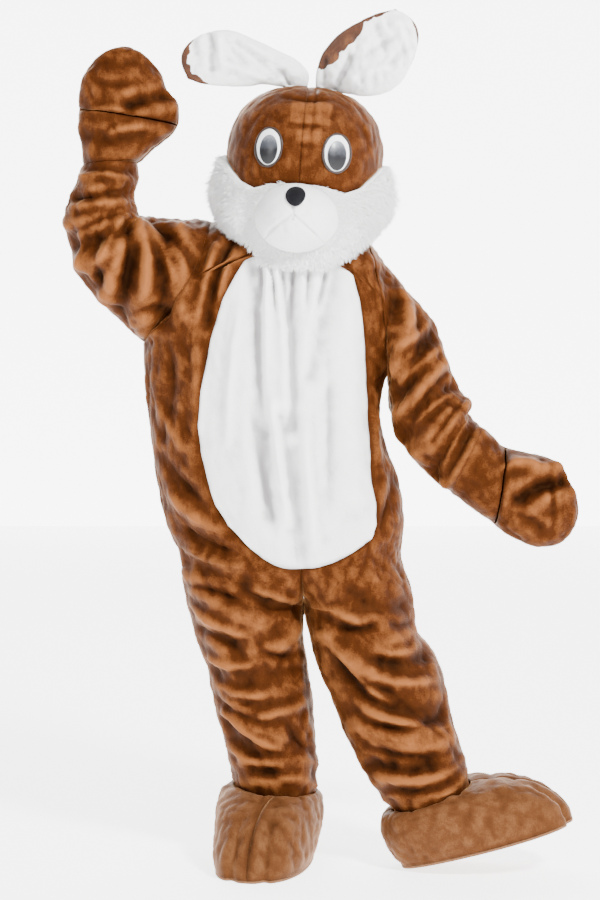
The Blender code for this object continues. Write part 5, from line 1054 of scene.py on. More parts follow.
# How each kind of piece lies: its own crumple's step and depth, its smaller crumple's depth, and the
# seam's depth and width
LIE_COLUMNS = ("step", "depth", "small", "seam_deep", "seam_wide")
LIE = {
    "belly": (0.046, 0.0018, 0.0006, 0.0026, 0.006),
    "front": (0.062, 0.0036, 0.0013, 0.0034, 0.007),
    "back": (0.062, 0.0038, 0.0013, 0.0034, 0.007),
    "sleeve": (0.056, 0.0038, 0.0013, 0.0030, 0.007),
    "mitt": (0.052, 0.0026, 0.0009, 0.0030, 0.006),
    "zip": (0.050, 0.0000, 0.0000, 0.0000, 0.005),
    "head": (0.060, 0.0024, 0.0007, 0.0012, 0.004),
    "cheek": (0.070, 0.0010, 0.0000, 0.0000, 0.006),
    "ear": (0.044, 0.0048, 0.0018, 0.0016, 0.005),
    "foot": (0.064, 0.0044, 0.0012, 0.0030, 0.006),
}
SHARED_STEP, SHARED_DEPTH = 0.062, 0.0022
# How much deeper the belly's folds are away from its seams
BELLY_DEEPER = 0.9


def lie_of(name):
    """The values of LIE for a piece, from the first word of its name."""
    return dict(zip(LIE_COLUMNS, LIE[name.split("_")[0]]))


# Rounds of evening out, and how far a quad may lean from the flat grid's, as a cosine, before it is evened
UNTANGLE_TURNS, UNTANGLE_BELOW = 30, 0.1
# Cloth bunched above the shoe covers: from and to a station, spacing in stations and height
BUNCH_FROM, BUNCH_TO, BUNCH_STEP, BUNCH_HIGH = 17.5, 18.72, 0.42, 0.0075


def hem_bunch(grid):
    """How far the legs stand out where their hems are pushed up on the shoe covers."""
    station = OUTER_ROWS[:, None]
    inside = ease((station - BUNCH_FROM) / 0.9) * ease((BUNCH_TO - station) / 0.14)
    turn = 2.0 * math.pi * (BUNCH_TO - station) / BUNCH_STEP
    x, y = grid[..., 0], grid[..., 1]
    drift = 1.3 * np.sin(31.0 * x + 17.0 * y) + 0.9 * np.sin(47.0 * y - 9.0 * x)
    uneven = 0.65 + 0.35 * np.sin(23.0 * x - 29.0 * y + 1.7)
    return BUNCH_HIGH * inside * uneven * (1.0 - np.abs(np.cos(0.5 * (turn + drift))) ** 0.8)


def quad_normals(grid):
    """The unit normal of each quad."""
    return unit(np.cross(grid[1:, 1:] - grid[:-1, :-1], grid[1:, :-1] - grid[:-1, 1:]))


def untangled(raised, flat):
    """A raised grid with its inner points evened out wherever a quad has turned against the flat grid's."""
    raised = raised.copy()
    meant = quad_normals(flat)
    for _ in range(UNTANGLE_TURNS):
        turned = (quad_normals(raised) * meant).sum(axis=-1) < UNTANGLE_BELOW
        if not turned.any():
            break
        near = np.pad(turned, 1)
        near = near[1:, 1:] | near[:-1, 1:] | near[1:, :-1] | near[:-1, :-1]
        near[1:-1, 1:-1] |= near[:-2, 1:-1] | near[2:, 1:-1] | near[1:-1, :-2] | near[1:-1, 2:]
        middle = 0.25 * (raised[:-2, 1:-1] + raised[2:, 1:-1] + raised[1:-1, :-2] + raised[1:-1, 2:])
        raised[1:-1, 1:-1] = np.where(near[1:-1, 1:-1, None], middle, raised[1:-1, 1:-1])
    return raised


def laid(grids, seed, folds=0.0, shared=SHARED_DEPTH):
    """Grids pushed out by folds and crumples and drawn in at the seams, and the height of each point.

    A shared crumple runs on over the seams, and each piece's own one fades in away from them.
    """
    normals = shared_normals(grids)
    raised = {}
    heights = {}
    for name, grid in grids.items():
        lie = lie_of(name)
        edge = steps_to_edges(grid)
        height = shared * crumple(grid, SHARED_STEP, (1.0, 1.0, 1.0), 3)
        own = lie["depth"] * crumple(grid, lie["step"], (1.0, 1.0, 0.75), seed)
        own += lie["small"] * crumple(grid, 0.45 * lie["step"], (1.0, 1.0, 1.0), seed + 1)
        height += own * ease(edge / 0.035)
        if folds:
            deeper = BELLY_DEEPER * ease(edge / 0.04) if name == "belly_panel" else 0.0
            height += (folds + deeper) * fold_height(grid, normals[name])
            if name.startswith(("front", "back")):
                height += hem_bunch(grid)
        height -= lie["seam_deep"] * np.exp(-(edge / lie["seam_wide"]) ** 2)
        raised[name] = untangled(grid + normals[name] * height[..., None], grid)
        heights[name] = height
    return raised, heights


MATERIALS = {"brown": (BROWN, "brown_plush"), "white": (WHITE, "white_plush"), "tan": (TAN, "tan_plush"),
             "tape": (TAPE, "zip_tape"), "ear": (EAR, "white_plush")}


def sew(grids, heights, looks, wall=WALL, extra=None):
    """Each grid as a closed cloth that stands for the node of its name."""
    normals = shared_normals(grids)
    for name, grid in grids.items():
        outer = seam_inset(grid, normals[name], 0.5 * GAP)
        material, slot = MATERIALS[looks[name]]
        # lift is the fold relief: painted shade in valleys, painted highlight on ridges.
        attributes = {"lift": relief_of(heights[name]) / FOLD_SHADE_UNIT, **(extra or {}).get(name, {})}
        sheet_piece(name + "_cloth", name, outer, outer - normals[name] * wall, material,
                    attributes)


def suit_grids():
    """Belly, two fronts, two backs, two sleeves, two mitts and the zip tape, as one sewn skin."""
    grids = {}
    spine = (0.0, 0.0, 1.1)
    front = {"right": front_grid(RIGHT_HALF, "right"), "left": front_grid(LEFT_HALF, "left")}
    back = {"right": back_grid(RIGHT_HALF), "left": back_grid(LEFT_HALF)}
    right_belly = half_point(RIGHT_HALF, -1, *BELLY["right"])
    left_belly = half_point(LEFT_HALF, -1, *BELLY["left"])
    belly = np.concatenate([right_belly, left_belly[:, -2::-1]], axis=1)
    grids["belly_panel"] = outward(belly, spine)
    for name in ("right", "left"):
        grids["front_" + name] = outward(front[name], (front[name][:, :, 0].mean() * 0.6, 0.02, 0.8))
        grids["back_" + name] = outward(back[name], (back[name][:, :, 0].mean() * 0.6, -0.02, 0.8))
    zipped = slice(FIRST_BELLY_ROW, ZIP_LAST_ROW + 1)
    edges = (back["right"][zipped, 0], back["left"][zipped, 0])
    across = np.linspace(0.0, 1.0, 5)[None, :, None]
    grids["zip_tape"] = outward(edges[0][:, None] * (1.0 - across) + edges[1][:, None] * across, spine)
    for name, sleeve_rows, mitt_rows, tip in (("right", RIGHT_SLEEVE, RIGHT_MITT, RIGHT_MITT_TIP),
                                              ("left", LEFT_SLEEVE, LEFT_MITT, LEFT_MITT_TIP)):
        sleeve = sleeve_grid(sleeve_rows, front[name], back[name])
        grids["sleeve_" + name] = outward(sleeve, sleeve.mean(axis=(0, 1)))
        slit = MITT_SLIT_ROW[name] / (len(mitt_rows) - 1.0)
        mouth = slit + SLIT / 0.30
        side = -np.cos(np.linspace(0.0, math.pi, ARMHOLE_ROWS + 1))[None, :]
        heel_rows = np.linspace(0.0, slit, 3 * FINE_SLEEVE + 1)
        finger_rows = mouth + (1.0 - mouth) * np.sin(np.linspace(0.0, 0.5 * math.pi, 7 * FINE_SLEEVE + 1))
        spans = {"mitt_heel_": (heel_rows, -1), "mitt_palm_": (finger_rows, -1),
                 "mitt_back_": (np.concatenate([heel_rows, finger_rows]), 1)}
        middle = along(mitt_rows, 3.0)
        inside = (0.5 * (middle[0] + middle[2]), middle[4], 0.5 * (middle[1] + middle[3]))
        for piece, (rows, facing) in spans.items():
            rows = rows[:, None]
            grid = pillow(mitt_rows, tip, facing, rows + 0 * side, side + 0 * rows)
            grids[piece + name] = outward(grid, inside)
    return grids


def make_suit():
    """The jumpsuit's cloth, hung from the neck on the form of its solids."""
    grids, heights = laid(suit_grids(), 11, folds=1.0)
    looks = {name: "brown" for name in grids}
    looks["belly_panel"] = "white"
    looks["zip_tape"] = "tape"
    sew(grids, heights, looks)
    return grids


# Half width, height, half length, sideways shift and seat of a zip tooth, in metres
TOOTH_WIDE, TOOTH_HIGH, TOOTH_LONG, TOOTH_OFF, TOOTH_SEAT = 0.0021, 0.0009, 0.0010, 0.0007, 0.0002


def make_teeth(tape):
    """Zip teeth: small blocks on the tape's centre line, in turn to the right and left."""
    middle = 0.5 * (tape[:, 1] + tape[:, -2])
    run = np.concatenate([[0.0], np.cumsum(np.linalg.norm(np.diff(middle, axis=0), axis=-1))])
    place = np.arange(0.004, run[-1] - 0.004, 0.0030)
    centre = np.stack([np.interp(place, run, middle[:, axis]) for axis in range(3)], -1)
    down = unit(np.gradient(centre, axis=0))
    over = np.broadcast_to(unit(tape[0, -1] - tape[0, 0]), centre.shape)
    out = unit(np.cross(over, down))
    out *= np.sign(out[:, 1:2])
    turn = np.where(np.arange(len(place)) % 2, 1.0, -1.0)[:, None]
    corners = np.array([(x, y, z) for x in (-1.0, 1.0) for y in (0.0, 1.0) for z in (-1.0, 1.0)])
    base = centre + over * turn * TOOTH_OFF + out * TOOTH_SEAT
    vertices = (base[:, None] + over[:, None] * corners[None, :, :1] * TOOTH_WIDE
                + out[:, None] * corners[None, :, 1:2] * TOOTH_HIGH
                + down[:, None] * corners[None, :, 2:] * TOOTH_LONG)
    sides = np.array(((0, 1, 3, 2), (4, 6, 7, 5), (0, 4, 5, 1), (2, 3, 7, 6), (0, 2, 6, 4), (1, 5, 7, 3)))
    faces = (sides[None] + 8 * np.arange(len(place))[:, None, None]).reshape(-1, 4)
    teeth = put("zip_teeth", vertices.reshape(-1, 3), faces, METAL, smooth=False)


# Head: an egg form with its own upright frame, set over the shoulders and tilted a little
HEAD_AT = np.array((0.008, 0.0, 1.56))
HEAD_ROLL, HEAD_YAW = math.radians(4.0), math.radians(3.0)
HEAD_WIDE, HEAD_FRONT, HEAD_BACK = 0.176, 0.168, 0.182
HEAD_BELT, HEAD_RISE = 0.02, 0.177
SIDE_SEAM = math.radians(95.0)
MUZZLE_GAP = 0.0006
EYE_WIDE, EYE_TALL, EYE_DOME = 0.029, 0.042, 0.009
EAR_CUP, EAR_WALL, EAR_SEAT = 0.006, 0.0012, 0.0008
MUZZLE_LOW, MUZZLE_WIDE, MUZZLE_TALL, MUZZLE_OUT = -0.107, 0.092, 0.075, 0.075
# Edges round the head as (degrees from the front, height): the face's lower edge and the head's rim
FACE_EDGE = ((0, -0.032), (20, -0.036), (34, -0.046), (48, -0.030), (62, 0.000), (75, 0.022), (95, 0.036))
RIM_EDGE = ((0, -0.218), (25, -0.212), (45, -0.175), (60, -0.135), (80, -0.090), (110, -0.094),
            (180, -0.118))


def head_round(low, power=2.6, root=0.435):
    """Share of full width at a height in the head's frame."""
    rise = np.clip((low - HEAD_BELT) / HEAD_RISE, 0.0, 1.0)
    drop = np.clip((HEAD_BELT - low) / 0.22, 0.0, 1.3)
    return np.maximum(1.0 - rise ** power, 0.0) ** root * (1.0 - 0.05 * drop ** 2)


def head_deep(low):
    """Share of full depth at a height in the head's frame: rounder than the width."""
    return head_round(low, 2.1, 0.5)


def head_point(angle, low):
    """Point of the head's form: angle 0 is the front and positive to the wearer's left."""
    deep = np.where(np.cos(angle) > 0, HEAD_FRONT, HEAD_BACK)
    return stack(HEAD_WIDE * head_round(low) * np.sin(angle), -deep * head_deep(low) * np.cos(angle), low)


def head_to_world(points):
    """Points of the head's frame, rolled, turned and put in place."""
    roll = np.array(((math.cos(HEAD_ROLL), 0, math.sin(HEAD_ROLL)), (0, 1, 0),
                     (-math.sin(HEAD_ROLL), 0, math.cos(HEAD_ROLL))))
    yaw = np.array(((math.cos(HEAD_YAW), math.sin(HEAD_YAW), 0),
                    (-math.sin(HEAD_YAW), math.cos(HEAD_YAW), 0), (0, 0, 1)))
    return points @ (yaw @ roll).T + HEAD_AT


def edge_at(table, angle):
    """Height of an edge of the head at an angle, the same on both sides."""
    table = np.array(table)
    return np.interp(np.abs(np.degrees(angle)), table[:, 0], table[:, 1])


def surface_tree(grids):
    """Grids as one surface that points can be set down on."""
    vertices = []
    faces = []
    for grid in grids:
        faces.extend(quads(*grid.shape[:2], len(vertices)).tolist())
        vertices.extend(Vector(p) for p in grid.reshape(-1, 3).tolist())
    return BVHTree.FromPolygons(vertices, faces)


def lift_over(points, tree, clearance):
    """A row of points raised where needed so that the edges between them clear what lies below too."""
    raised = points.copy()
    parts = 6
    for _ in range(2):
        need = np.zeros(len(raised))
        for index in range(len(raised) - 1):
            for step in range(parts + 1):
                share = step / parts
                x, y, z = raised[index] * (1.0 - share) + raised[index + 1] * share
                hit = tree.ray_cast(Vector((x, y, 2.0)), Vector((0.0, 0.0, -1.0)))[0]
                if hit is not None:
                    lack = hit.z + clearance - z
                    need[index] = max(need[index], lack if share < 0.99 else 0.0)
                    need[index + 1] = max(need[index + 1], lack if share > 0.01 else 0.0)
        raised[:, 2] += need
    return raised


def over_rim(grid, tree, clearance):
    """A head grid whose rim row, its first, is lifted clear and whose next rows follow in part."""
    rows = len(grid)
    rim = lift_over(grid[0], tree, clearance)
    lift = (rim - grid[0])[None]
    fade = np.clip(1.0 - np.arange(rows) / (rows - 1.0), 0.0, 1.0)[:, None, None]
    return grid + lift * fade


def disc(count):
    """Even grid laid on a round disc, as two arrays from -1 to 1."""
    side = np.linspace(-1.0, 1.0, count + 1)
    one, two = np.meshgrid(side, side, indexing="ij")
    return one * np.sqrt(1.0 - 0.5 * two ** 2), two * np.sqrt(1.0 - 0.5 * one ** 2)


def muzzle_height(x, low):
    """How far the muzzle stands out in front of the head at a place in the head's frame."""
    radius = np.hypot(x / MUZZLE_WIDE, (low - MUZZLE_LOW) / MUZZLE_TALL)
    return MUZZLE_OUT * np.maximum(1.0 - radius ** 2.4, 0.0) ** 0.6


def face_depth(x, low):
    """Depth of the head's front form at a place in the head's frame."""
    sideways = x / (HEAD_WIDE * head_round(low))
    return -HEAD_FRONT * head_deep(low) * np.sqrt(np.maximum(1.0 - sideways ** 2, 0.0))


FINE_HEAD = 7

# Stitched tucks over the forehead: (height in the head's frame, from x, to x, bow, width, depth)
TUCKS = (
    (0.156, -0.066, 0.062, 0.004, 0.0042, 0.0062),
    (0.094, -0.036, 0.054, -0.003, 0.0040, 0.0056),
    (0.126, -0.030, 0.048, 0.002, 0.0036, 0.0030),
    (0.052, -0.012, 0.040, -0.002, 0.0036, 0.0026),
)
# Panels where the nap lies another way, painted lighter as painted sheen: (from x, to x, from height, to
# height)
NAP_SHEEN = 0.9
NAP_PANELS = ((-0.032, 0.061, 0.098, 0.152), (-0.018, 0.044, 0.056, 0.092))


def tuck_depth(x, low):
    """How deep the tucks and the centre seam of the face are at a place in the head's frame."""
    deep = 0.0030 * np.exp(-((x - 0.020) / 0.0036) ** 2) * ease((low - 0.05) / 0.03)
    for height, start, end, bow, wide, depth in TUCKS:
        share = (x - start) / (end - start)
        inside = np.sqrt(np.clip(4.0 * share * (1.0 - share), 0.0, 1.0))
        line = height + bow * (2.0 * share - 1.0) ** 2
        deep += depth * inside * np.exp(-((low - line) / wide) ** 2)
    return deep


def nap_share(x, low):
    """How far a place of the face lies in a panel of turned nap, which gets painted sheen."""
    share = np.zeros(np.shape(x))
    for start, end, bottom, top in NAP_PANELS:
        inside = ease((x - start) / 0.006) * ease((end - x) / 0.006)
        share += inside * ease((low - bottom) / 0.006) * ease((top - low) / 0.006)
    return share


def make_head(tree):
    """Brown face and back and the backing cloth of the furry cheeks; gives the crown and the cheeks."""
    top = HEAD_BELT + HEAD_RISE * 0.99995
    bend = np.sin(np.linspace(0.0, 0.5 * math.pi, 6 * FINE_HEAD + 1))[:, None]
    climb = np.linspace(0.0, 1.0, 8 * FINE_HEAD + 1)[:, None]
    worlds = {}
    places = {}
    for name, way in (("right", -1), ("left", 1)):
        angle = way * np.linspace(0.0, SIDE_SEAM, 10 * FINE_HEAD + 1)[None, :]
        start = edge_at(FACE_EDGE, angle)
        rim = edge_at(RIM_EDGE, angle)
        places["head_front_" + name] = (angle + 0 * bend, start + (top - start) * bend)
        places["cheek_" + name] = (angle + 0 * climb, rim + (start - rim) * climb)
        angle = way * np.linspace(SIDE_SEAM, math.pi, 5 * FINE_HEAD + 1)[None, :]
        rim = edge_at(RIM_EDGE, angle)
        seam = edge_at(FACE_EDGE, SIDE_SEAM)
        rows = np.concatenate([climb[:, 0], 1.0 + bend[1:, 0]])[:, None]
        low = rim + (seam - rim) * np.minimum(rows, 1.0) + (top - seam) * np.maximum(rows - 1.0, 0.0)
        places["head_back_" + name] = (angle + 0 * low, low)
    for name, (angle, low) in places.items():
        world = head_to_world(head_point(angle, low))
        if not name.startswith("head_front"):
            world = over_rim(world, tree, 0.0014 if name.startswith("cheek") else 0.0010)
        if np.sum(grid_normals(world) * (world - HEAD_AT)) < 0:
            world = world[:, ::-1]
            places[name] = (angle[:, ::-1], low[:, ::-1])
        worlds[name] = world
    raised, heights = laid(worlds, 21, shared=0.0012)
    normals = shared_normals(worlds)
    cheeks = {}
    nap_sheens = {}
    for name, (angle, low) in places.items():
        x = HEAD_WIDE * head_round(low) * np.sin(angle)
        if name.startswith("head_front"):
            tucks = tuck_depth(x, low)
            raised[name] = raised[name] - normals[name] * tucks[..., None]
            # The tucks also lower the height, painted darker as painted shade in their hollows.
            heights[name] = heights[name] - tucks
            # Painted sheen of the turned nap panels, added to the fold shade.
            nap_sheens[name] = NAP_SHEEN * nap_share(x, low)
        if name.startswith("cheek"):
            radius = np.hypot(x / MUZZLE_WIDE, (low - MUZZLE_LOW) / MUZZLE_TALL)
            clear = ease((radius - 1.14) / 0.35) * np.where(np.abs(angle) > 1.7, 0.0, 1.0)
            rise = np.linspace(0.0, 1.0, len(low))[:, None]
            full = 0.55 + 0.45 * np.sin(math.pi * rise ** 0.8)
            side = 0.45 + 0.55 * ease((np.abs(angle) - 0.3) / 0.9)
            reach = clear * FUR * full * side
            cheeks[name] = (raised[name], reach, x, low)
    crown = surface_tree([world for name, world in worlds.items() if name not in cheeks])
    skins = {name: grid for name, grid in raised.items() if name not in cheeks}
    normals = shared_normals(raised)
    for name, grid in skins.items():
        outer = seam_inset(grid, normals[name], 0.5 * GAP)
        # Fold relief as painted shade and highlight, with the painted sheen of the nap panels.
        lift = relief_of(heights[name]) / FOLD_SHADE_UNIT + nap_sheens.get(name, 0.0)
        inner = outer - normals[name] * WALL
        sheet_piece(name + "_cloth", name, outer, inner, BROWN,
                    {"lift": lift})
    for name, (grid, reach, x, low) in cheeks.items():
        inset = seam_inset(grid, normals[name], 0.5 * GAP)
        outer = inset + normals[name] * (FUR_BED * reach)[..., None]
        inner = inset - normals[name] * WALL
        # The cheek's fold height, painted as shade in hollows and as highlight on rises.
        lift = heights[name] / FOLD_SHADE_UNIT
        sheet_piece(name + "_cloth", name, outer, inner, WHITE,
                    {"lift": lift})
        radius = np.hypot(x / MUZZLE_WIDE, (low - MUZZLE_LOW) / MUZZLE_TALL)
        cheeks[name] = (outer, normals[name], np.maximum(reach, SHORT_FUR * (radius > 0.97)), x, low)
    return crown, cheeks


# Share of the fur's reach that the cheek's cloth fills
FUR_BED = 0.44
# Long fur of the cheeks: strands a cheek, thickness at the root, clumps a cheek, and its reach by the muzzle
STRANDS, STRAND_THICK, CLUMPS = 16000, 0.00072, 640
SHORT_FUR = 0.005


def make_fur(name, skin, seed):
    """Tapered three-sided strands that flow away from the muzzle and down, drawn together in clumps.

    skin holds the grid of the roots, its normals, how far the fur reaches, and the places in the head's own
    frame.
    """
    count = STRANDS
    grid, normals, reach, x, low = skin
    chance = np.random.default_rng(seed)
    columns = reach.shape[1]
    weight = (reach[:-1, :-1] > 0.002) * np.linalg.norm(
        np.cross(grid[1:, 1:] - grid[:-1, :-1], grid[:-1, 1:] - grid[1:, :-1]), axis=-1)
    cell = chance.choice(weight.size, count, p=(weight / weight.sum()).ravel())
    row, column = cell // (columns - 1), cell % (columns - 1)
    down, over = chance.random((2, count))

    def at(values):
        """Values of a grid at the strands' roots."""
        spread_over = over if values.ndim == 2 else over[:, None]
        spread_down = down if values.ndim == 2 else down[:, None]
        first = values[row, column] * (1 - spread_over) + values[row, column + 1] * spread_over
        last = values[row + 1, column] * (1 - spread_over) + values[row + 1, column + 1] * spread_over
        return first * (1 - spread_down) + last * spread_down

    root, facing, long = at(grid), unit(at(normals)), at(reach)
    side_x, side_low = at(x), at(low)
    axis_x, _, axis_z = (head_to_world(np.eye(3)) - HEAD_AT)
    away = axis_x * side_x[:, None] / MUZZLE_WIDE + axis_z * ((side_low - MUZZLE_LOW) / MUZZLE_TALL)[:, None]
    flow = unit(away) * 0.9 - axis_z * 0.75
    level = flow - facing * np.sum(flow * facing, axis=-1, keepdims=True)
    flow = unit(level + 0.22 * chance.normal(size=root.shape))
    length = (0.62 * long + 0.006) * chance.uniform(0.75, 1.2, count)
    stand = 0.40 * np.clip(long / FUR, 0.25, 1.0)[:, None]
    middle = root + (facing * (0.35 + stand) + flow * 0.5) * 0.5 * length[:, None]
    tip = root + (facing * (0.15 + stand) + flow * 0.95) * length[:, None]
    clump = chance.integers(0, count, CLUMPS)
    nearest = np.concatenate([
        np.argmin(np.linalg.norm(part[:, None] - root[clump][None], axis=-1), axis=1)
        for part in np.array_split(root, 30)])
    leader = clump[nearest]
    middle += 0.25 * (middle[leader] - middle)
    tip += (0.60 * chance.uniform(0.5, 1.2, count))[:, None] * (tip[leader] - tip)
    tip += 0.0016 * chance.normal(size=tip.shape)
    run = unit(tip - root)
    one = unit(np.cross(run, facing + 0.3 * chance.normal(size=facing.shape)))
    two = np.cross(run, one)
    turn = np.arange(3) * 2.0 * math.pi / 3.0
    ring = one[:, None] * np.cos(turn)[None, :, None] + two[:, None] * np.sin(turn)[None, :, None]
    start = root - facing * 0.001
    low_ring = start[:, None] + ring * STRAND_THICK
    high_ring = middle[:, None] + ring * 0.7 * STRAND_THICK
    points = np.concatenate([low_ring, high_ring, tip[:, None]], axis=1)
    first = 7 * np.arange(count)[:, None, None]
    bands = np.array([(a, b, b + 3, a + 3) for a, b in ((0, 1), (1, 2), (2, 0))])[None] + first
    ends = np.array([(a, b, 6) for a, b in ((3, 4), (4, 5), (5, 3))])[None] + first
    faces = bands.reshape(-1, 4).tolist() + ends.reshape(-1, 3).tolist()
    along_hair = np.broadcast_to(np.array((0.0, 0.0, 0.0, 0.5, 0.5, 0.5, 1.0)), (count, 7))
    fur = put(name, points.reshape(-1, 3), faces, LONG_FUR, {"along": along_hair})


# Mouth seam: widths of its stem and of its two lines, their reach to the side and slope, and its depth
STEM_WIDE, LIP_WIDE, LIP_REACH, LIP_SLOPE, MOUTH_DEEP = 0.0035, 0.0042, 0.062, 0.78, 0.0052


def mouth_groove(x, low):
    """Depth of the mouth seam: down from the nose, then out to both sides as an inverted V."""
    across = np.abs(x + 0.004)
    stem = np.exp(-(across / STEM_WIDE) ** 2) * ease((MUZZLE_LOW + 0.030 - low) / 0.006)
    stem = stem * (low > MUZZLE_LOW - 0.01)
    line = MUZZLE_LOW + 0.004 - LIP_SLOPE * across
    lips = np.exp(-((low - line) / LIP_WIDE) ** 2) * ease((LIP_REACH - across) / 0.014)
    return MOUTH_DEEP * np.maximum(stem, lips)


def make_muzzle():
    """Two upper lips and a lower lip of short white plush, and the velour nose."""
    rays = {"muzzle_right": (90.0, 223.0, 63), "muzzle_lower": (223.0, 317.0, 42),
            "muzzle_left": (317.0, 450.0, 63)}
    radius = np.concatenate([[0.012], np.linspace(0.04, 1.0, 48)])[:, None]
    grids = {}
    heights = {}
    for name, (start, end, count) in rays.items():
        ray = np.radians(np.linspace(start, end, count + 1))[None, :]
        x = MUZZLE_WIDE * radius * np.cos(ray)
        low = MUZZLE_LOW + MUZZLE_TALL * radius * np.sin(ray)
        groove = mouth_groove(x, low)
        bump = 0.0020 * crumple(stack(x, 0 * x, low), 0.05, (1.0, 1.0, 1.0), 8) * (1.0 - radius ** 4)
        y = face_depth(x, low) - muzzle_height(x, low) - WALL - MUZZLE_GAP + groove - bump
        world = head_to_world(stack(x, y, low))
        if np.sum(grid_normals(world) * (world - HEAD_AT)) < 0:
            world, groove, bump = world[:, ::-1], groove[:, ::-1], bump[:, ::-1]
        grids[name] = world
        # The groove and bumps set the height: the groove is painted darker as painted shade, the bumps
        # lighter as painted highlight.
        heights[name] = bump - groove
    normals = shared_normals(grids)
    forward = head_to_world(np.array((0.0, -1.0, 0.0))) - HEAD_AT
    for name, grid in grids.items():
        push = unit(normals[name] + 0.6 * forward)
        outer = seam_inset(grid, normals[name], 0.5 * GAP)
        inner = outer - push * WALL
        lift = relief_of(heights[name]) / FOLD_SHADE_UNIT
        sheet_piece(name + "_cloth", name, outer, inner, WHITE,
                    {"lift": lift})
    one, two = disc(40)
    x = -0.001 + 0.0215 * one * (1.0 + 0.10 * two)
    low = MUZZLE_LOW + 0.042 + 0.0225 * two
    base = face_depth(x, low) - muzzle_height(x, low) - WALL - MUZZLE_GAP
    dome = 0.010 * np.sqrt(np.maximum(1.0 - 0.96 * (one ** 2 + two ** 2), 0.0)) ** 0.8
    outer = head_to_world(stack(x, base - 0.0020 - dome, low))
    inner = head_to_world(stack(x, base - GAP, low))
    if np.sum(grid_normals(outer) * (outer - HEAD_AT)) < 0:
        outer, inner = outer[:, ::-1], inner[:, ::-1]
    nose = closed_sheet("nose_velour", outer, inner, VELOUR, {"lift": 0 * one})
    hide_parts("nose")


def make_eyes():
    """An oval white eye on each side of the face, a dark iris on it and a thin dark line round it."""
    eyes = {"right": (-0.072, 0.044), "left": (0.078, 0.040)}
    parts = (("eye_white_", EYE_WIDE, EYE_TALL, 0.000, 0.000, 0.0000, EYE_WHITE, "eye_white"),
             ("eye_iris_", 0.020, 0.032, 0.001, -0.006, 0.0015, EYE_DARK, "eye_dark"))
    one, two = disc(36)
    for side, (centre_x, centre_low) in eyes.items():
        for part, wide, tall, off_x, off_low, swell, material, slot in parts:
            x = centre_x + off_x + wide * one
            low = centre_low + off_low + tall * two
            away_x = (one * wide + off_x) / EYE_WIDE
            away_low = (two * tall + off_low) / EYE_TALL
            dome = 0.0012 + EYE_DOME * np.sqrt(np.maximum(1.0 - 0.98 * (away_x ** 2 + away_low ** 2), 0.0))
            base = face_depth(x, low)
            lift = swell + (4 * GAP if part == "eye_iris_" else 0.0)
            outer = head_to_world(stack(x, base - dome - GAP - lift, low))
            inner = head_to_world(stack(x, base - (dome + GAP if part == "eye_iris_" else GAP), low))
            if np.sum(grid_normals(outer) * (outer - HEAD_AT)) < 0:
                outer, inner = outer[:, ::-1], inner[:, ::-1]
            eye = closed_sheet(part + side + "_dome", outer, inner, material, {"tall": two})
            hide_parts(part + side)
        turn = np.linspace(0.0, 2.0 * math.pi, 97)[:, None]
        round_turn = np.linspace(0.0, 2.0 * math.pi, 9)[None, :]
        uneven = 1.0 + 0.25 * np.sin(5 * turn + centre_x * 90) * np.sin(3 * turn + 1.0)
        ring = 0.0032 * uneven * np.ones_like(round_turn)
        x = centre_x + (EYE_WIDE + ring * np.cos(round_turn)) * np.cos(turn)
        low = centre_low + (EYE_TALL + ring * np.cos(round_turn)) * np.sin(turn)
        y = face_depth(x, low) - 0.0034 - 0.8 * ring * np.sin(round_turn)
        grid = head_to_world(stack(x, y, low))[:-1, :-1]
        rows, columns = grid.shape[:2]
        number = np.arange(rows * columns).reshape(rows, columns)
        follow = np.roll(number, -1, axis=0)
        faces = np.stack([number, np.roll(number, -1, axis=1), np.roll(follow, -1, axis=1), follow], -1)
        line = put("eye_line_" + side, grid.reshape(-1, 3), faces.reshape(-1, 4), EYE_LINE,
                   {"tall": np.zeros(rows * columns)})


# Where the brown back folds over the ears' white fronts: (x, z, half length in x, in z, width of the band)
FOLDED = {
    "right": ((-0.262, 1.800, 0.060, 0.070, 0.020), (-0.235, 1.755, 0.035, 0.030, 0.010)),
    "left": ((0.075, 1.860, 0.075, 0.075, 0.044), (0.150, 1.905, 0.055, 0.040, 0.012),
             (0.262, 1.870, 0.030, 0.045, 0.010)),
}
# Creases of the ears' fronts as (x, z, x, z, width, depth), below 0 for a ridge
EAR_CREASES = {
    "right": ((-0.200, 1.866, -0.197, 1.792, 0.008, 0.0100), (-0.180, 1.862, -0.174, 1.800, 0.012, -0.0070),
              (-0.040, 1.790, -0.012, 1.746, 0.007, 0.0130), (-0.140, 1.850, -0.050, 1.780, 0.009, 0.0070),
              (-0.160, 1.800, -0.080, 1.772, 0.009, -0.0060), (-0.150, 1.835, -0.120, 1.805, 0.007, 0.0060),
              (-0.110, 1.845, -0.080, 1.825, 0.008, -0.0050), (-0.235, 1.850, -0.225, 1.800, 0.009, 0.0060)),
    "left": ((0.112, 1.812, 0.075, 1.744, 0.010, 0.0160), (0.135, 1.815, 0.200, 1.850, 0.010, 0.0070),
             (0.120, 1.770, 0.185, 1.790, 0.010, -0.0070), (0.060, 1.810, 0.050, 1.760, 0.008, 0.0080),
             (0.215, 1.890, 0.240, 1.820, 0.009, -0.0070), (0.170, 1.880, 0.190, 1.830, 0.008, 0.0070),
             (0.150, 1.850, 0.140, 1.800, 0.009, -0.0050), (0.200, 1.800, 0.230, 1.830, 0.008, 0.0060)),
}


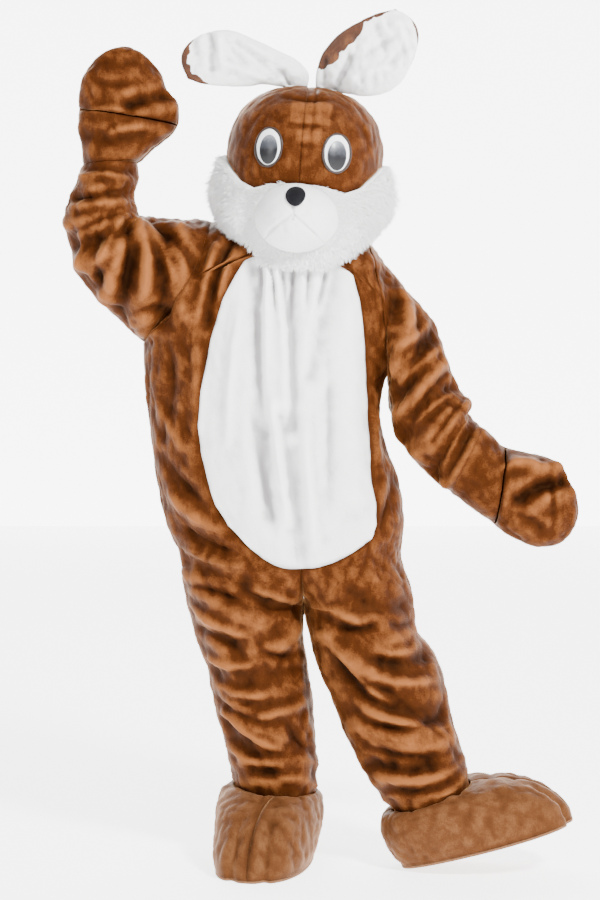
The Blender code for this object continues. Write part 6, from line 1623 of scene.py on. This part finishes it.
def folded_over(side, grid):
    """1 where the brown back is folded over an ear's front, fading to 0 across a few millimetres."""
    edge = steps_to_edges(grid)
    uneven = 1.0 + 0.35 * crumple(grid, 0.045, (1.0, 1.0, 1.0), 71)
    share = np.zeros(edge.shape)
    for x, z, long, tall, wide in FOLDED[side]:
        near = np.clip(1.0 - ((grid[..., 0] - x) / long) ** 2 - ((grid[..., 2] - z) / tall) ** 2, 0.0, 1.0)
        share = np.maximum(share, ease((wide * uneven * np.sqrt(near) - edge) / 0.012 + 0.42))
    return share


def ear_creases(side, grid):
    """How deep an ear's creases are at each point."""
    seen = grid[..., (0, 2)]
    deep = np.zeros(grid.shape[:-1])
    for start_x, start_z, end_x, end_z, width, depth in EAR_CREASES[side]:
        start, end = np.array((start_x, start_z)), np.array((end_x, end_z))
        share = ((seen - start) @ (end - start)) / np.sum((end - start) ** 2)
        distance = np.linalg.norm(seen - start - np.clip(share, 0.0, 1.0)[..., None] * (end - start), axis=-1)
        deep += depth * np.exp(-(distance / width) ** 2)
    return deep


def make_ears(tree):
    """Each ear has a white front and a brown back; its root stands on the crown."""
    for side, rows, tip in (("right", RIGHT_EAR, RIGHT_EAR_TIP), ("left", LEFT_EAR, LEFT_EAR_TIP)):
        length = np.sin(np.linspace(0.0, 0.5 * math.pi, 76))[:, None]
        sway = -np.cos(np.linspace(0.0, math.pi, 65))[None, :]
        grids = {}
        for piece, facing in (("ear_front_", -1), ("ear_back_", 1)):
            grid = pillow(rows, tip, facing, length + 0 * sway, sway + 0 * length, cup=EAR_CUP)
            rise = np.array([tree.ray_cast(Vector((x, y, 2.5)), Vector((0.0, 0.0, -1.0)))[0].z + EAR_SEAT - z
                             for x, y, z in grid[0]])
            grid[..., 2] += rise[None] * (1.0 - ease(length / 0.5))
            grids[piece + side] = facing_way(grid, (0, facing, 0))
        raised, heights = laid(grids, 31, shared=0.0010)
        front, back = "ear_front_" + side, "ear_back_" + side
        inside = ease(steps_to_edges(grids[front]) / 0.012)
        creases = ear_creases(side, grids[front]) * inside
        raised[front][..., 1] += creases
        # Creases lower the height by more than their depth, painted darker as painted shade.
        heights[front] = heights[front] - 1.3 * creases
        raised[back][..., 1] += ear_creases(side, grids[back]) * ease(steps_to_edges(grids[back]) / 0.012)
        fold = folded_over(side, grids[front])
        looks = {front: "ear", back: "brown"}
        sew(raised, heights, looks, EAR_WALL, {front: {"folded_over": fold}})


# Shoe covers: a sole on its outline and two uppers that close in on the leg
FOOT_COLUMNS = ("heel_x", "heel_y", "heel_z", "heading", "pitch", "toe_turn", "open_row",
                "slack")
FEET = {
    "right": (-0.028, 0.175, 0.000, -103.0, 0.0, 90.0, 18.75, 0.0000),
    "left": (0.232, -0.056, 0.000, -7.0, 17.0, 180.0, 18.75, 0.0007),
}
FOOT_LONG, FOOT_HEEL_WIDE, FOOT_TOE_WIDE = 0.40, 0.092, 0.110
FOOT_BULGE = 0.026
SOLE_THICK = 0.006
LOBE_PLACE, LOBE_WIDE, LOBE_DEEP = 0.036, 0.011, 0.013


def foot_outline(turn):
    """Sole outline in the foot's frame: turn 0 is the heel and pi the toe, with three toe lobes."""
    forward = 0.5 * (1.0 - np.cos(turn))
    wide = FOOT_HEEL_WIDE + (FOOT_TOE_WIDE - FOOT_HEEL_WIDE) * ease(forward)
    sideways = wide * np.sign(np.sin(turn)) * np.abs(np.sin(turn)) ** 0.72
    groove = np.exp(-((np.abs(sideways) - LOBE_PLACE) / LOBE_WIDE) ** 2) * ease((forward - 0.75) / 0.2)
    return stack(FOOT_LONG * forward - LOBE_DEEP * groove, sideways, 0.0 * turn)


FINE_FOOT = 6

# Soft folds of the uppers in the foot's frame: (forward, from side, to side, bow, width, height)
FOOT_FOLDS = {
    "right": ((0.150, -0.080, 0.085, 0.020, 0.012, -0.0065), (0.128, -0.085, 0.080, 0.018, 0.013, 0.0070),
              (0.235, -0.060, 0.010, -0.012, 0.012, -0.0045), (0.060, -0.070, 0.075, -0.016, 0.014, 0.0060),
              (0.200, -0.010, 0.090, 0.026, 0.010, -0.0050), (0.098, -0.060, 0.070, 0.012, 0.009, -0.0055)),
    "left": ((0.165, -0.095, 0.060, 0.024, 0.012, -0.0075), (0.140, -0.090, 0.075, 0.020, 0.014, 0.0075),
             (0.250, -0.020, 0.085, -0.014, 0.013, -0.0050), (0.215, -0.080, -0.010, 0.012, 0.012, -0.0050),
             (0.050, -0.060, 0.080, -0.020, 0.014, 0.0065), (0.078, -0.085, 0.060, -0.014, 0.008, -0.0065),
             (0.112, -0.070, 0.085, 0.016, 0.008, -0.0060), (0.290, -0.070, 0.020, 0.018, 0.010, -0.0040)),
}
# The tuck down the middle of each upper: (side, from forward, to forward, width, depth)
FOOT_TUCK = (0.002, 0.175, 0.400, 0.0035, 0.0026)


def foot_relief(side, points):
    """How far folds and the middle tuck push the upper out at points in the foot's frame."""
    forward, across = points[..., 0], points[..., 1]
    height = np.zeros(points.shape[:-1])
    for place, start, end, bow, wide, high in FOOT_FOLDS[side]:
        share = (across - start) / (end - start)
        inside = np.sqrt(np.clip(4.0 * share * (1.0 - share), 0.0, 1.0))
        line = place + bow * (2.0 * share - 1.0) ** 2
        height += high * inside * np.exp(-((forward - line) / wide) ** 2)
    place, start, end, wide, deep = FOOT_TUCK
    inside = ease((forward - start) / 0.03) * ease((end - forward) / 0.02)
    return height - deep * inside * np.exp(-((across - place) / wide) ** 2)


def make_foot(side, half):
    """Sole plate and the outer and inner upper of one shoe cover."""
    foot = dict(zip(FOOT_COLUMNS, FEET[side]))
    heading, pitch = math.radians(foot["heading"]), math.radians(foot["pitch"])
    level = np.array((math.cos(heading), math.sin(heading), 0.0))
    across = np.array((-math.sin(heading), math.cos(heading), 0.0))
    forward = level * math.cos(pitch) + np.array((0.0, 0.0, math.sin(pitch)))
    upward = np.cross(forward, across)
    frame = np.stack([forward, across, upward])
    heel = np.array((foot["heel_x"], foot["heel_y"], foot["heel_z"]))
    count = 28 * FINE_FOOT
    base = np.linspace(0.0, 2.0 * math.pi, count + 1)
    turn = base - 0.28 * np.sin(base)
    outline = foot_outline(turn)
    ring_turn = np.radians(foot["toe_turn"]) + (1.0 if side == "right" else -1.0) * (turn - math.pi)
    ring_turn = np.mod(ring_turn, 2.0 * math.pi)
    row = np.full(count + 1, foot["open_row"])
    on_front = ring_turn <= math.pi
    front = half_point(half, -1, np.clip(ring_turn / math.pi, 0.0, 1.0), row)
    back = half_point(half, 1, np.clip(2.0 - ring_turn / math.pi, 0.0, 1.0), row)
    ring = np.where(on_front[:, None], front, back)
    centre = ring[:-1].mean(axis=0)
    ring = ring + unit(ring - centre) * (WALL + foot["slack"])
    ring = (ring - heel) @ frame.T
    rise = np.linspace(0.0, 1.0, 7 * FINE_FOOT + 1)[:, None]
    angle = 0.5 * math.pi * rise
    low = outline[None] + np.array((0.0, 0.0, SOLE_THICK + GAP))
    reach = ring[None] - low
    flat = np.stack([reach[..., 0], reach[..., 1], 0 * reach[..., 0]], -1)
    points = low + flat * (1.0 - np.cos(angle))[..., None]
    points[..., 2] += reach[..., 2] * np.sin(angle)
    middle = 0.5 * (outline.max(axis=0) + outline.min(axis=0))
    out = unit(outline - np.array((middle[0], 0.0, 0.0)))
    near = ease(1.0 - np.linalg.norm(flat, axis=-1) / 0.16)
    points += out[None] * (FOOT_BULGE * near * np.sin(math.pi * rise))[..., None]
    groove = np.exp(-((np.abs(points[..., 1]) - LOBE_PLACE) / LOBE_WIDE) ** 2)
    groove = groove * ease((points[..., 0] - 0.20) / 0.12) * ease(1.0 - rise)
    points[..., 2] -= 0.012 * groove * ease(points[..., 2] / 0.05)
    relief = foot_relief(side, points) * ease(points[..., 2] / 0.03)
    world = points @ frame + heel
    half_count = count // 2
    inside = np.array((0.5 * FOOT_LONG, 0.0, 0.05)) @ frame + heel
    grids = {}
    reliefs = {}
    halves = (("foot_outer_", slice(0, half_count + 1)), ("foot_inner_", slice(half_count, count + 1)))
    for name, columns in halves:
        grid = world[:, columns]
        given = relief[:, columns]
        if np.sum(grid_normals(grid) * (grid - inside)) < 0:
            grid, given = grid[:, ::-1], given[:, ::-1]
        grids[name + side] = grid
        reliefs[name + side] = given
    normals = shared_normals(grids)
    raised, heights = laid(grids, 41, shared=0.0016)
    for name, given in reliefs.items():
        raised[name] = raised[name] + normals[name] * given[..., None]
        heights[name] = heights[name] + given
        raised[name][0] = grids[name][0]
    sew(raised, heights, {name: "tan" for name in grids})
    make_sole(side, frame, heel, turn[:-1])


def make_sole(side, frame, heel, turn):
    """The sole plate with rounded edges, flat below."""
    edge = foot_outline(turn)
    tangent = unit(np.roll(edge, -1, axis=0) - np.roll(edge, 1, axis=0))
    inward = np.stack([-tangent[:, 1], tangent[:, 0], 0 * turn], -1)
    inward *= np.sign(np.sum(inward * (np.array((0.5 * FOOT_LONG, 0.0, 0.0)) - edge), axis=-1, keepdims=True))
    rings = [edge + inward * draw + np.array((0.0, 0.0, rise))
             for draw, rise in ((0.0015, 0.0), (0.0004, 0.0005), (0.0, 0.0015), (0.0, SOLE_THICK - 0.0015),
                                (0.0004, SOLE_THICK - 0.0005), (0.0015, SOLE_THICK))]
    count = len(edge)
    faces = []
    for level in range(len(rings) - 1):
        number = np.arange(count) + level * count
        follow = np.roll(number, -1)
        faces.extend(np.stack([number, follow, follow + count, number + count], 1).tolist())
    faces += [list(range(count))[::-1], list(range(5 * count, 6 * count))]
    follow = np.roll(edge, -1, axis=0)
    if np.sum(edge[:, 0] * follow[:, 1] - follow[:, 0] * edge[:, 1]) < 0:
        faces = [face[::-1] for face in faces]
    sole = put("foot_sole_pad_" + side, np.concatenate(rings) @ frame + heel, faces, SOLE)
    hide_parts("foot_sole_" + side)


SUIT = make_suit()
make_teeth(SUIT["zip_tape"])
UNDER_HEAD = ("belly_panel", "front_right", "front_left", "back_right", "back_left", "sleeve_right",
              "sleeve_left")
CROWN, CHEEKS = make_head(surface_tree([SUIT[name][::3, ::3] for name in UNDER_HEAD]))
for number, (name, cheek) in enumerate(CHEEKS.items()):
    make_fur(name + "_fur", cheek, 51 + number)
make_muzzle()
make_eyes()
make_ears(CROWN)
make_foot("right", RIGHT_HALF)
make_foot("left", LEFT_HALF)
for name in ("zip_slider", "zip_pull"):
    node = bpy.data.objects[name]
    node.data.materials.clear()
    node.data.materials.append(METAL)

# Studio: white floor and a bright backdrop, key from the upper front right, weak fill from the left
FLOOR_Z = -SHOULDER_HEIGHT
CAMERA_AT, CAMERA_TO, LENS = (0.0, -4.5, -0.31), (0.0, 0.0, -0.52), 79.3
BACKDROP_Y, BACKDROP_GLOW, FLOOR_GLOW, WORLD_GLOW = 9.0, 4.4, 2.8, 0.45
LIGHTS = (
    ("key", (2.3, -3.3, 2.5), (0.0, 0.0, -0.3), 0.8, 640.0),
    ("fill", (-3.0, -3.4, 1.2), (0.0, 0.0, -0.5), 1.6, 70.0),
    ("back", (-0.6, 3.6, 2.4), (0.0, 0.0, -0.3), 1.6, 130.0),
)


def look(obj, target):
    """Turn an object so that its -Z points at the target and its Y stays up."""
    way = Vector(target) - obj.location
    obj.rotation_euler = way.to_track_quat("-Z", "Y").to_euler()


def make_studio():
    """Camera, lights, floor and world."""
    scene = bpy.context.scene
    camera = bpy.data.objects.new("camera", bpy.data.cameras.new("camera"))
    camera.data.lens = LENS
    camera.location = CAMERA_AT
    look(camera, CAMERA_TO)
    scene.collection.objects.link(camera)
    scene.camera = camera
    for name, place, target, size, power in LIGHTS:
        light = bpy.data.objects.new(name, bpy.data.lights.new(name, "AREA"))
        light.data.size = size
        light.data.energy = power
        light.location = place
        look(light, target)
        scene.collection.objects.link(light)
    wide = 30.0
    ground = [(-wide, -wide, FLOOR_Z), (wide, -wide, FLOOR_Z), (wide, wide, FLOOR_Z), (-wide, wide, FLOOR_Z)]
    sheet = [(-wide, BACKDROP_Y, FLOOR_Z), (wide, BACKDROP_Y, FLOOR_Z), (wide, BACKDROP_Y, FLOOR_Z + 12.0),
             (-wide, BACKDROP_Y, FLOOR_Z + 12.0)]
    for name, corners, glow in (("floor", ground, FLOOR_GLOW), ("backdrop", sheet, BACKDROP_GLOW)):
        mesh = bpy.data.meshes.new(name)
        mesh.from_pydata(corners, [], [(0, 1, 2, 3)])
        material, _, shader = blank_material(name + "_white")
        shader.inputs["Base Color"].default_value = (0.94, 0.94, 0.94, 1.0)
        shader.inputs["Roughness"].default_value = 0.9
        shader.inputs["Emission Color"].default_value = (1.0, 1.0, 1.0, 1.0)
        shader.inputs["Emission Strength"].default_value = glow
        mesh.materials.append(material)
        piece = bpy.data.objects.new(name, mesh)
        scene.collection.objects.link(piece)
    world = bpy.data.worlds.new("studio")
    world.use_nodes = True
    world.node_tree.nodes["Background"].inputs["Color"].default_value = (1.0, 1.0, 1.0, 1.0)
    world.node_tree.nodes["Background"].inputs["Strength"].default_value = WORLD_GLOW
    scene.world = world


make_studio()
